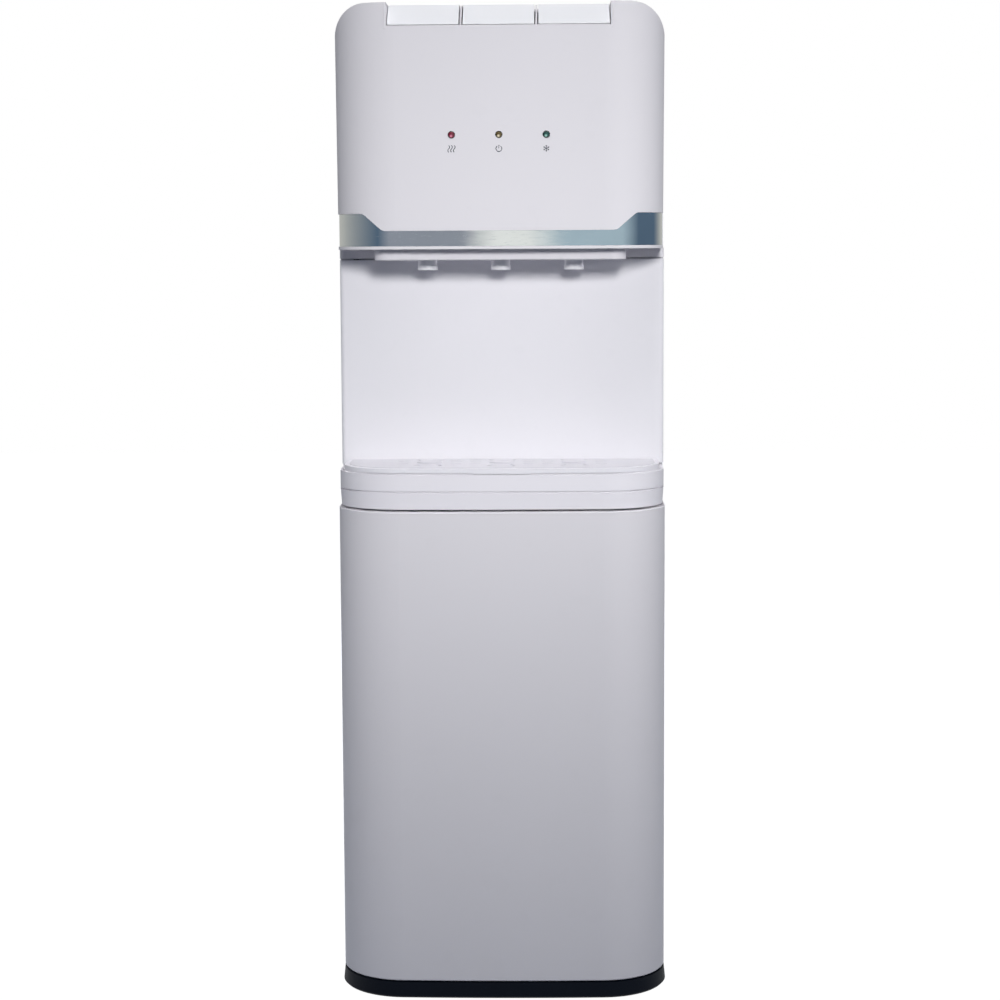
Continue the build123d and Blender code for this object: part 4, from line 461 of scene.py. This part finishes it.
def make_finishes(colours):
    """Make the finish of every material slot."""
    moulded_plastic("shell_white", tuple(colours.shell), 0.58)
    moulded_plastic("housing_white", tuple(colours.housing), 0.55)
    moulded_plastic("splash_white", tuple(colours.splash), 0.5)
    moulded_plastic("tray_white", tuple(colours.tray), 0.45)
    moulded_plastic("grille_white", tuple(colours.grille), 0.42)
    moulded_plastic("key_white", tuple(colours.key), 0.4, coat=0.2)
    powder_coat("steel_white", tuple(colours.steel))
    moulded_plastic("plinth_black", tuple(colours.plinth), 0.6, grain=1400.0, depth=0.00008, mirror=0.1)
    moulded_plastic("trim_black", tuple(colours.trim), 0.5, grain=1400.0, depth=0.00008)
    soft_rubber("foot_rubber", srgb(24, 24, 26))
    bright_plating("band_chrome", tuple(colours.band))
    moulded_plastic("liner_white", tuple(colours.liner), 0.48, grain=500.0, depth=0.0001)
    # the spouts' lighter white is partly painted light, offsetting the spout cover's shadow
    moulded_plastic("nozzle_white", tuple(colours.nozzle), 0.28, edge=0.0)
    moulded_plastic("inner_grey", srgb(184, 186, 190), 0.45)
    brushed_steel("steel_bare", srgb(196, 198, 202))
    sintered("magnet_dark", srgb(52, 52, 56), 0.55)
    # the last colour of each lens is the colour of its painted highlight
    tinted_lens("lamp_red", "indicator_hot", srgb(140, 8, 48), srgb(66, 4, 24), srgb(222, 120, 150))
    tinted_lens("lamp_amber", "indicator_power", srgb(112, 90, 30), srgb(50, 40, 14), srgb(240, 226, 190))
    tinted_lens("lamp_green", "indicator_cold", srgb(8, 78, 68), srgb(4, 42, 40), srgb(150, 206, 192))
    circuit_board("board_green", srgb(24, 92, 48))
    moulded_plastic("tank_plastic", srgb(228, 229, 226), 0.5)
    bead_foam("foam_white", srgb(240, 240, 240))
    extruded_alloy("sink_alloy", srgb(206, 208, 211))
    sintered("module_white", srgb(236, 235, 230), 0.6)
    moulded_plastic("pump_black", srgb(44, 45, 48), 0.5, grain=700.0, depth=0.0001)
    soft_rubber("hose_clear", srgb(214, 218, 222), 0.4)
    moulded_plastic("rocker_red", srgb(176, 34, 34), 0.25, coat=0.3)
    moulded_plastic("rocker_green", srgb(34, 130, 66), 0.25, coat=0.3)
    printed_ink("print_grey", tuple(colours.ink))
    printed_ink("print_white", srgb(236, 236, 236))


def finish_of(slot):
    return bpy.data.materials[f"{slot}_finish"]


def new_piece(name, mesh_builder, body, slot, material=None, replaced=()):
    """Turn a bmesh into a piece that rides on a body and takes a finish."""
    mesh = bpy.data.meshes.new(name)
    bmesh.ops.remove_doubles(mesh_builder, verts=mesh_builder.verts, dist=1e-7)
    bmesh.ops.recalc_face_normals(mesh_builder, faces=mesh_builder.faces)
    mesh_builder.to_mesh(mesh)
    mesh_builder.free()
    piece = bpy.data.objects.new(name, mesh)
    bpy.context.scene.collection.objects.link(piece)
    piece.data.materials.append(finish_of(material or slot))
    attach(piece, body)
    if replaced:
        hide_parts(*replaced)
    return piece


def smooth_faces(piece, angle=math.radians(35)):
    piece.data.shade_smooth()
    piece.data.set_sharp_from_angle(angle=angle)


def spin_profile(builder, profile, place):
    """Revolve a row of (radius, depth along Y) points a full turn about the Y line through a place."""
    verts = [builder.verts.new(place + Vector((radius, depth, 0))) for radius, depth in profile]
    edges = [builder.edges.new(pair) for pair in zip(verts, verts[1:])]
    bmesh.ops.spin(
        builder, geom=verts + edges, cent=place, axis=(0, 1, 0), angle=math.tau, steps=40, use_merge=True
    )


def bar(builder, start, end, width, depth):
    """Straight stroke of a symbol, drawn in the XZ plane and pushed back along Y."""
    along = (end - start).normalized()
    side = Vector((-along.z, 0, along.x)) * width / 2
    corners = [builder.verts.new(p) for p in (start - side, end - side, end + side, start + side)]
    face = builder.faces.new(corners)
    raised = bmesh.ops.extrude_face_region(builder, geom=[face])["geom"]
    moved = [item for item in raised if isinstance(item, bmesh.types.BMVert)]
    bmesh.ops.translate(builder, verts=moved, vec=(0, depth, 0))


def arc(builder, centre, radius, width, depth, start, sweep, steps=28):
    """Curved stroke of a symbol: its section is spun about the centre."""
    inner = radius - width / 2
    direction = Vector((math.cos(start), 0, math.sin(start)))
    near = centre + direction * inner
    far = centre + direction * (inner + width)
    back = Vector((0, depth, 0))
    corners = [builder.verts.new(p) for p in (near, far, far + back, near + back)]
    face = builder.faces.new(corners)
    bmesh.ops.spin(
        builder, geom=[face], cent=centre, axis=(0, -1, 0), angle=sweep, steps=steps, use_merge=False
    )


def lay_on(builder, node, side, ink_depth):
    """Carry a print along Y onto a node's front (side -1) or back (side 1), half sunk into it."""
    start = CAD_BOX[1].y * 2 * side
    for vert in builder.verts:
        hit, place, _, _ = node.ray_cast((vert.co.x, start, vert.co.z), (0, -side, 0))
        if not hit:
            raise RuntimeError(f"a print misses {node.name}")
        vert.co.y += place.y - ink_depth


class DISPENSER_OT_finishes(bpy.types.Operator):
    """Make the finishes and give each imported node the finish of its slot"""

    bl_idname = "dispenser.finishes"
    bl_label = "Finishes"

    def execute(self, context):
        make_finishes(context.scene.dispenser_colours)
        for part in frame["record"]["subparts"]:
            node = NODES[part["node"]]
            node.data.materials.clear()
            node.data.materials.append(finish_of(part["material_slot"]))
        NODES["tray_housing"].data.materials[0] = finish_of("housing_white")
        return {"FINISHED"}


class DISPENSER_OT_lamps(bpy.types.Operator):
    """Add a domed lens and a dark ring for each indicator lamp"""

    bl_idname = "dispenser.lamps"
    bl_label = "Indicator lamps"

    def execute(self, context):
        sizes = context.scene.dispenser_sizes
        for lamp, slot in zip(LAMPS, ("lamp_red", "lamp_amber", "lamp_green")):
            node = f"indicator_{lamp}"
            low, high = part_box(node)
            radius = (high[0] - low[0]) / 2
            place = Vector((box_middle(node).x, low[1], box_middle(node).z))
            self.add_lens(sizes, lamp, slot, node, place, radius, high[1] - low[1])
            self.add_ring(sizes, lamp, place, radius)
        return {"FINISHED"}

    def add_lens(self, sizes, lamp, slot, node, place, radius, length):
        turns = [math.radians(step * 90 / 8) for step in range(9)]
        dome = [(radius * math.sin(turn), sizes.lens_dome * (1 - math.cos(turn))) for turn in turns]
        stem = [(radius, length), (0, length)]
        builder = bmesh.new()
        spin_profile(builder, dome + stem, place)
        lens = new_piece(f"lens_{lamp}", builder, "cabinet", slot, replaced=(node,))
        smooth_faces(lens)

    def add_ring(self, sizes, lamp, place, radius):
        face = place + Vector((0, sizes.lens_dome, 0))
        inner = radius * RING_BORE
        outer = inner + sizes.ring_width
        profile = (
            (inner, RING_SEAT),
            (inner, -RING_PROUD),
            ((inner + outer) / 2, -RING_PROUD * RING_CREST),
            (outer, 0),
            (outer, RING_SEAT),
            (inner, RING_SEAT),
        )
        builder = bmesh.new()
        spin_profile(builder, profile, face)
        smooth_faces(new_piece(f"ring_{lamp}", builder, "cabinet", "trim_black"))


class DISPENSER_OT_symbols(bpy.types.Operator):
    """Print a plain symbol under each lamp: rising heat, power and a snow crystal"""

    bl_idname = "dispenser.symbols"
    bl_label = "Printed symbols"

    def execute(self, context):
        sizes = context.scene.dispenser_sizes
        draw = {"hot": self.draw_heat, "power": self.draw_power, "cold": self.draw_crystal}
        for lamp in LAMPS:
            middle = box_middle(f"indicator_{lamp}")
            builder = bmesh.new()
            draw[lamp](builder, Vector((middle.x, 0, middle.z - sizes.symbol_drop)), sizes)
            lay_on(builder, NODES["head_front"], -1, sizes.ink_depth)
            new_piece(f"symbol_{lamp}", builder, "cabinet", "trim_black", "print_grey")
        return {"FINISHED"}

    @staticmethod
    def draw_heat(builder, place, sizes):
        sweep = math.radians(110)
        radius = sizes.symbol_height / 4 / math.sin(sweep / 2)
        off_axis = radius * math.cos(sweep / 2)
        for shift in (-1, 0, 1):
            middle = place + Vector((shift * sizes.symbol_height * 0.42, 0, 0))
            for side, start in ((1, -sweep / 2), (-1, math.pi - sweep / 2)):
                centre = middle + Vector((-side * off_axis, 0, side * sizes.symbol_height / 4))
                arc(builder, centre, radius, sizes.symbol_line, 2 * sizes.ink_depth, start, sweep, 12)

    @staticmethod
    def draw_power(builder, place, sizes):
        radius = sizes.symbol_height / 2 - sizes.symbol_line / 2
        depth = 2 * sizes.ink_depth
        arc(builder, place, radius, sizes.symbol_line, depth, math.radians(125), math.radians(290))
        top = place + Vector((0, 0, radius + sizes.symbol_line))
        bar(builder, place + Vector((0, 0, radius * 0.1)), top, sizes.symbol_line, depth)

    @staticmethod
    def draw_crystal(builder, place, sizes):
        arm = sizes.symbol_height / 2
        twig = arm * 0.34
        depth = 2 * sizes.ink_depth
        for turn in range(6):
            angle = math.radians(90 + 60 * turn)
            along = Vector((math.cos(angle), 0, math.sin(angle)))
            bar(builder, place + along * 0.02 * arm, place + along * arm, sizes.symbol_line * 0.8, depth)
            fork = place + along * arm * 0.58
            for lean in (-50, 50):
                branch = math.radians(90 + 60 * turn + lean)
                tip = fork + Vector((math.cos(branch), 0, math.sin(branch))) * twig
                bar(builder, fork, tip, sizes.symbol_line * 0.6, depth)


class DISPENSER_OT_screws(bpy.types.Operator):
    """Replace the back panel's screws with cross-headed ones"""

    bl_idname = "dispenser.screws"
    bl_label = "Panel screws"

    def execute(self, context):
        sizes = context.scene.dispenser_sizes
        builder = bmesh.new()
        for place, radius, length in self.screw_places():
            self.add_screw(builder, place, radius, length, sizes.recess_depth)
        screws = new_piece("cross_screws", builder, "cabinet", "steel_bare", replaced=("panel_screws",))
        smooth_faces(screws)
        return {"FINISHED"}

    @staticmethod
    def screw_places():
        """Middle of each head's outer face, the head's radius and the screw's length."""
        builder = bmesh.new()
        builder.from_mesh(NODES["panel_screws"].data)
        bmesh.ops.remove_doubles(builder, verts=builder.verts, dist=1e-6)
        todo = set(builder.verts)
        places = []
        while todo:
            island = [todo.pop()]
            for vert in island:
                for edge in vert.link_edges:
                    other = edge.other_vert(vert)
                    if other in todo:
                        todo.remove(other)
                        island.append(other)
            xs, ys, zs = zip(*[vert.co for vert in island])
            middle = Vector(((min(xs) + max(xs)) / 2, max(ys), (min(zs) + max(zs)) / 2))
            places.append((middle, (max(xs) - min(xs)) / 2, max(ys) - min(ys)))
        builder.free()
        return sorted(places, key=lambda screw: (screw[0].z, screw[0].x))

    @staticmethod
    def add_screw(builder, place, radius, length, recess):
        """Pan head with a cross cut into it, on a plain shank."""
        profile = (
            (0, -length),
            (SHANK_RADIUS, -length),
            (SHANK_RADIUS, -HEAD_HEIGHT),
            (radius, -HEAD_HEIGHT),
            (radius, -HEAD_HEIGHT * 0.45),
            (radius * 0.82, -HEAD_HEIGHT * 0.12),
            (radius * HEAD_FLAT, 0),
        )
        spin_profile(builder, profile, place)
        reach = radius * CROSS_REACH
        half = radius * CROSS_HALF
        outline = []
        for turn in range(4):
            spin = Matrix.Rotation(turn * math.pi / 2, 3, "Y")
            for x, z in ((half, half), (reach, half), (reach, -half)):
                outline.append(place + spin @ Vector((x, 0, z)))
        upper = [builder.verts.new(point) for point in outline]
        lower = [builder.verts.new(point - Vector((0, recess, 0))) for point in outline]
        for index in range(len(upper)):
            after = (index + 1) % len(upper)
            builder.faces.new((upper[index], upper[after], lower[after], lower[index]))
        builder.faces.new(lower)
        flat = {vert for vert in builder.verts if abs(vert.co.y - place.y) < SAME_LEVEL}
        near = {vert for vert in flat if (vert.co - place).length < radius * (HEAD_FLAT + 0.01)}
        edges = [edge for edge in builder.edges if edge.is_boundary and near.issuperset(edge.verts)]
        bmesh.ops.triangle_fill(
            builder, edges=edges, use_beauty=True, use_dissolve=False, normal=(0, 1, 0)
        )


class DISPENSER_OT_switch_marks(bpy.types.Operator):
    """Print a bar and a ring on each rocker switch"""

    bl_idname = "dispenser.switch_marks"
    bl_label = "Switch marks"

    def execute(self, context):
        sizes = context.scene.dispenser_sizes
        depth = 2 * sizes.ink_depth
        for switch, slot in SWITCHES.items():
            node = f"rocker_{switch}"
            low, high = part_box(node)
            quarter = Vector((0, 0, (high[2] - low[2]) / 4))
            middle = box_middle(node)
            middle.y = 0
            on_mark = bmesh.new()
            reach = Vector((0, 0, sizes.mark_height / 2))
            bar(on_mark, middle + quarter - reach, middle + quarter + reach, sizes.mark_line, depth)
            off_mark = bmesh.new()
            arc(off_mark, middle - quarter, reach.z, sizes.mark_line, depth, 0, math.tau)
            for name, builder in (("on", on_mark), ("off", off_mark)):
                lay_on(builder, NODES[node], 1, sizes.ink_depth)
                new_piece(f"mark_{switch}_{name}", builder, node, slot, "print_white")
        return {"FINISHED"}


class DISPENSER_OT_stage(bpy.types.Operator):
    """Set up the camera, the floor, the lamps and the background"""

    bl_idname = "dispenser.stage"
    bl_label = "Stage"

    def execute(self, context):
        settings = context.scene.dispenser_stage
        context.scene.view_settings.view_transform = "Standard"
        self.add_camera(context, settings)
        self.add_floor(context)
        self.add_room(context)
        front = ((0.27, -2.5, 1.24), (0, -0.17, 0.66))
        top = ((0.05, -0.75, 1.95), (0, -0.17, 0.95))
        right = ((1.9, -0.27, 1.1), (0, -0.1, 0.78))
        left = ((-2.0, 0.0, 1.1), (0, -0.1, 0.78))
        back = ((-0.4, 2.3, 0.9), (0, 0.17, 0.55))
        self.add_lamp(context, "front_lamp", front, 0.36, settings.front_power, 45)
        self.add_lamp(context, "top_lamp", top, 0.5, settings.top_power)
        self.add_lamp(context, "right_lamp", right, 0.6, settings.right_power, 75)
        self.add_lamp(context, "left_lamp", left, 0.6, settings.left_power, 75)
        self.add_lamp(context, "back_lamp", back, 0.8, settings.back_power)
        self.set_background(context, settings)
        return {"FINISHED"}

    @staticmethod
    def add_camera(context, settings):
        data = bpy.data.cameras.new("camera")
        data.lens = settings.lens
        data.sensor_width = 36.0
        camera = bpy.data.objects.new("camera", data)
        yaw = Matrix.Rotation(settings.yaw, 4, "Z")
        pitch = Matrix.Rotation(math.pi / 2 - settings.pitch, 4, "X")
        roll = Matrix.Rotation(settings.roll, 4, "Z")
        camera.matrix_world = Matrix.Translation(settings.camera) @ yaw @ pitch @ roll
        context.scene.collection.objects.link(camera)
        context.scene.camera = camera

    @staticmethod
    def add_lamp(context, name, line, size, power, spread=180):
        """Disc lamp that stands at a line's start and faces its end, with a beam of so many degrees."""
        place, target = line
        data = bpy.data.lights.new(name, "AREA")
        data.shape = "DISK"
        data.size = size
        data.energy = power
        data.spread = math.radians(spread)
        lamp = bpy.data.objects.new(name, data)
        aim = (Vector(target) - Vector(place)).to_track_quat("-Z", "Y")
        lamp.matrix_world = Matrix.Translation(place) @ aim.to_matrix().to_4x4()
        lamp.visible_glossy = False
        context.scene.collection.objects.link(lamp)

    @staticmethod
    def background_rays(shader):
        rays = [shader.add("ShaderNodeLightPath", output=index) for index in (0, 3, 11)]
        return rays[0].math("MAXIMUM", rays[0], rays[1].math("MAXIMUM", rays[1], rays[2]))

    def add_floor(self, context):
        builder = bmesh.new()
        bmesh.ops.create_grid(builder, x_segments=4, y_segments=4, size=FLOOR_HALF)
        mesh = bpy.data.meshes.new("floor")
        builder.to_mesh(mesh)
        builder.free()
        floor = bpy.data.objects.new("floor", mesh)
        context.scene.collection.objects.link(floor)
        material = new_material("floor")
        shader = Shader(material.node_tree)
        grain = shader.noise(3.0, 3.0)
        tone = shader.mix(grain, colour4(srgb(140, 150, 166)), colour4(srgb(148, 158, 174)))
        matte = shader.add("ShaderNodeBsdfDiffuse", sockets={"Color": tone})
        glow = shader.add("ShaderNodeEmission", sockets={"Color": (1, 1, 1, 1), "Strength": FLOOR_GLOW})
        seen = shader.add("ShaderNodeMixShader", sockets={0: FLOOR_GLOW_SHARE, 1: matte, 2: glow})
        rays = self.background_rays(shader)
        both = shader.add("ShaderNodeMixShader", sockets={0: rays, 1: matte, 2: seen})
        shader.add("ShaderNodeOutputMaterial", sockets={"Surface": both})
        floor.data.materials.append(material)

    @staticmethod
    def add_room(context):
        """Round wall that only mirror-like surfaces see: a bright window ahead, dim walls either side."""
        builder = bmesh.new()
        bmesh.ops.create_cone(
            builder,
            cap_ends=False,
            segments=96,
            radius1=ROOM_RADIUS,
            radius2=ROOM_RADIUS,
            depth=2 * ROOM_RADIUS,
        )
        mesh = bpy.data.meshes.new("room")
        builder.to_mesh(mesh)
        builder.free()
        room = bpy.data.objects.new("room", mesh)
        context.scene.collection.objects.link(room)
        room.visible_camera = False
        room.visible_diffuse = False
        room.visible_shadow = False
        material = new_material("room")
        shader = Shader(material.node_tree)
        bearing = shader.along(0).math("ARCTAN2", shader.along(0), 0 - shader.along(1))
        stops = [(angle / 360 + 0.5, srgb(*levels)) for angle, levels in ROOM_STOPS]
        ramp = shader.add("ShaderNodeValToRGB", {"stops": stops}, {0: bearing / math.tau + 0.5})
        glow = shader.add("ShaderNodeEmission", sockets={"Color": ramp, "Strength": 1.0})
        shader.add("ShaderNodeOutputMaterial", sockets={"Surface": glow})
        room.data.materials.append(material)

    def set_background(self, context, settings):
        world = bpy.data.worlds.new("background")
        context.scene.world = world
        world.use_nodes = True
        shader = Shader(world.node_tree)
        sky = {"Color": (0.8, 0.93, 1.2, 1), "Strength": settings.fill}
        fill = shader.add("ShaderNodeBackground", sockets=sky)
        white = shader.add("ShaderNodeBackground", sockets={"Color": (1, 1, 1, 1), "Strength": 1.0})
        rays = self.background_rays(shader)
        mixed = shader.add("ShaderNodeMixShader", sockets={0: rays, 1: fill, 2: white})
        shader.add("ShaderNodeOutputWorld", sockets={"Surface": mixed})


class DISPENSER_PT_panel(bpy.types.Panel):
    """Sidebar panel with the colours, sizes and steps"""

    bl_label = "Water dispenser"
    bl_space_type = "VIEW_3D"
    bl_region_type = "UI"
    bl_category = "Dispenser"

    def draw(self, context):
        for group_name in GROUPS:
            group = getattr(context.scene, group_name)
            box = self.layout.box()
            for name in group.__annotations__:
                box.prop(group, name)
        for step in STEPS:
            self.layout.operator(step.bl_idname)


STEPS = (
    DISPENSER_OT_finishes,
    DISPENSER_OT_lamps,
    DISPENSER_OT_symbols,
    DISPENSER_OT_screws,
    DISPENSER_OT_switch_marks,
    DISPENSER_OT_stage,
)
GROUPS = {
    "dispenser_colours": DispenserColours,
    "dispenser_sizes": DispenserSizes,
    "dispenser_stage": DispenserStage,
}


def register():
    for group in (*GROUPS.values(), *STEPS, DISPENSER_PT_panel):
        bpy.utils.register_class(group)
    for name, group in GROUPS.items():
        setattr(bpy.types.Scene, name, PointerProperty(type=group))


def unregister():
    for name in GROUPS:
        delattr(bpy.types.Scene, name)
    for group in reversed((*GROUPS.values(), *STEPS, DISPENSER_PT_panel)):
        bpy.utils.unregister_class(group)


def main():
    register()
    bpy.ops.dispenser.finishes()
    bpy.ops.dispenser.lamps()
    bpy.ops.dispenser.symbols()
    bpy.ops.dispenser.screws()
    bpy.ops.dispenser.switch_marks()
    bpy.ops.dispenser.stage()


if __name__ == "__main__":
    main()
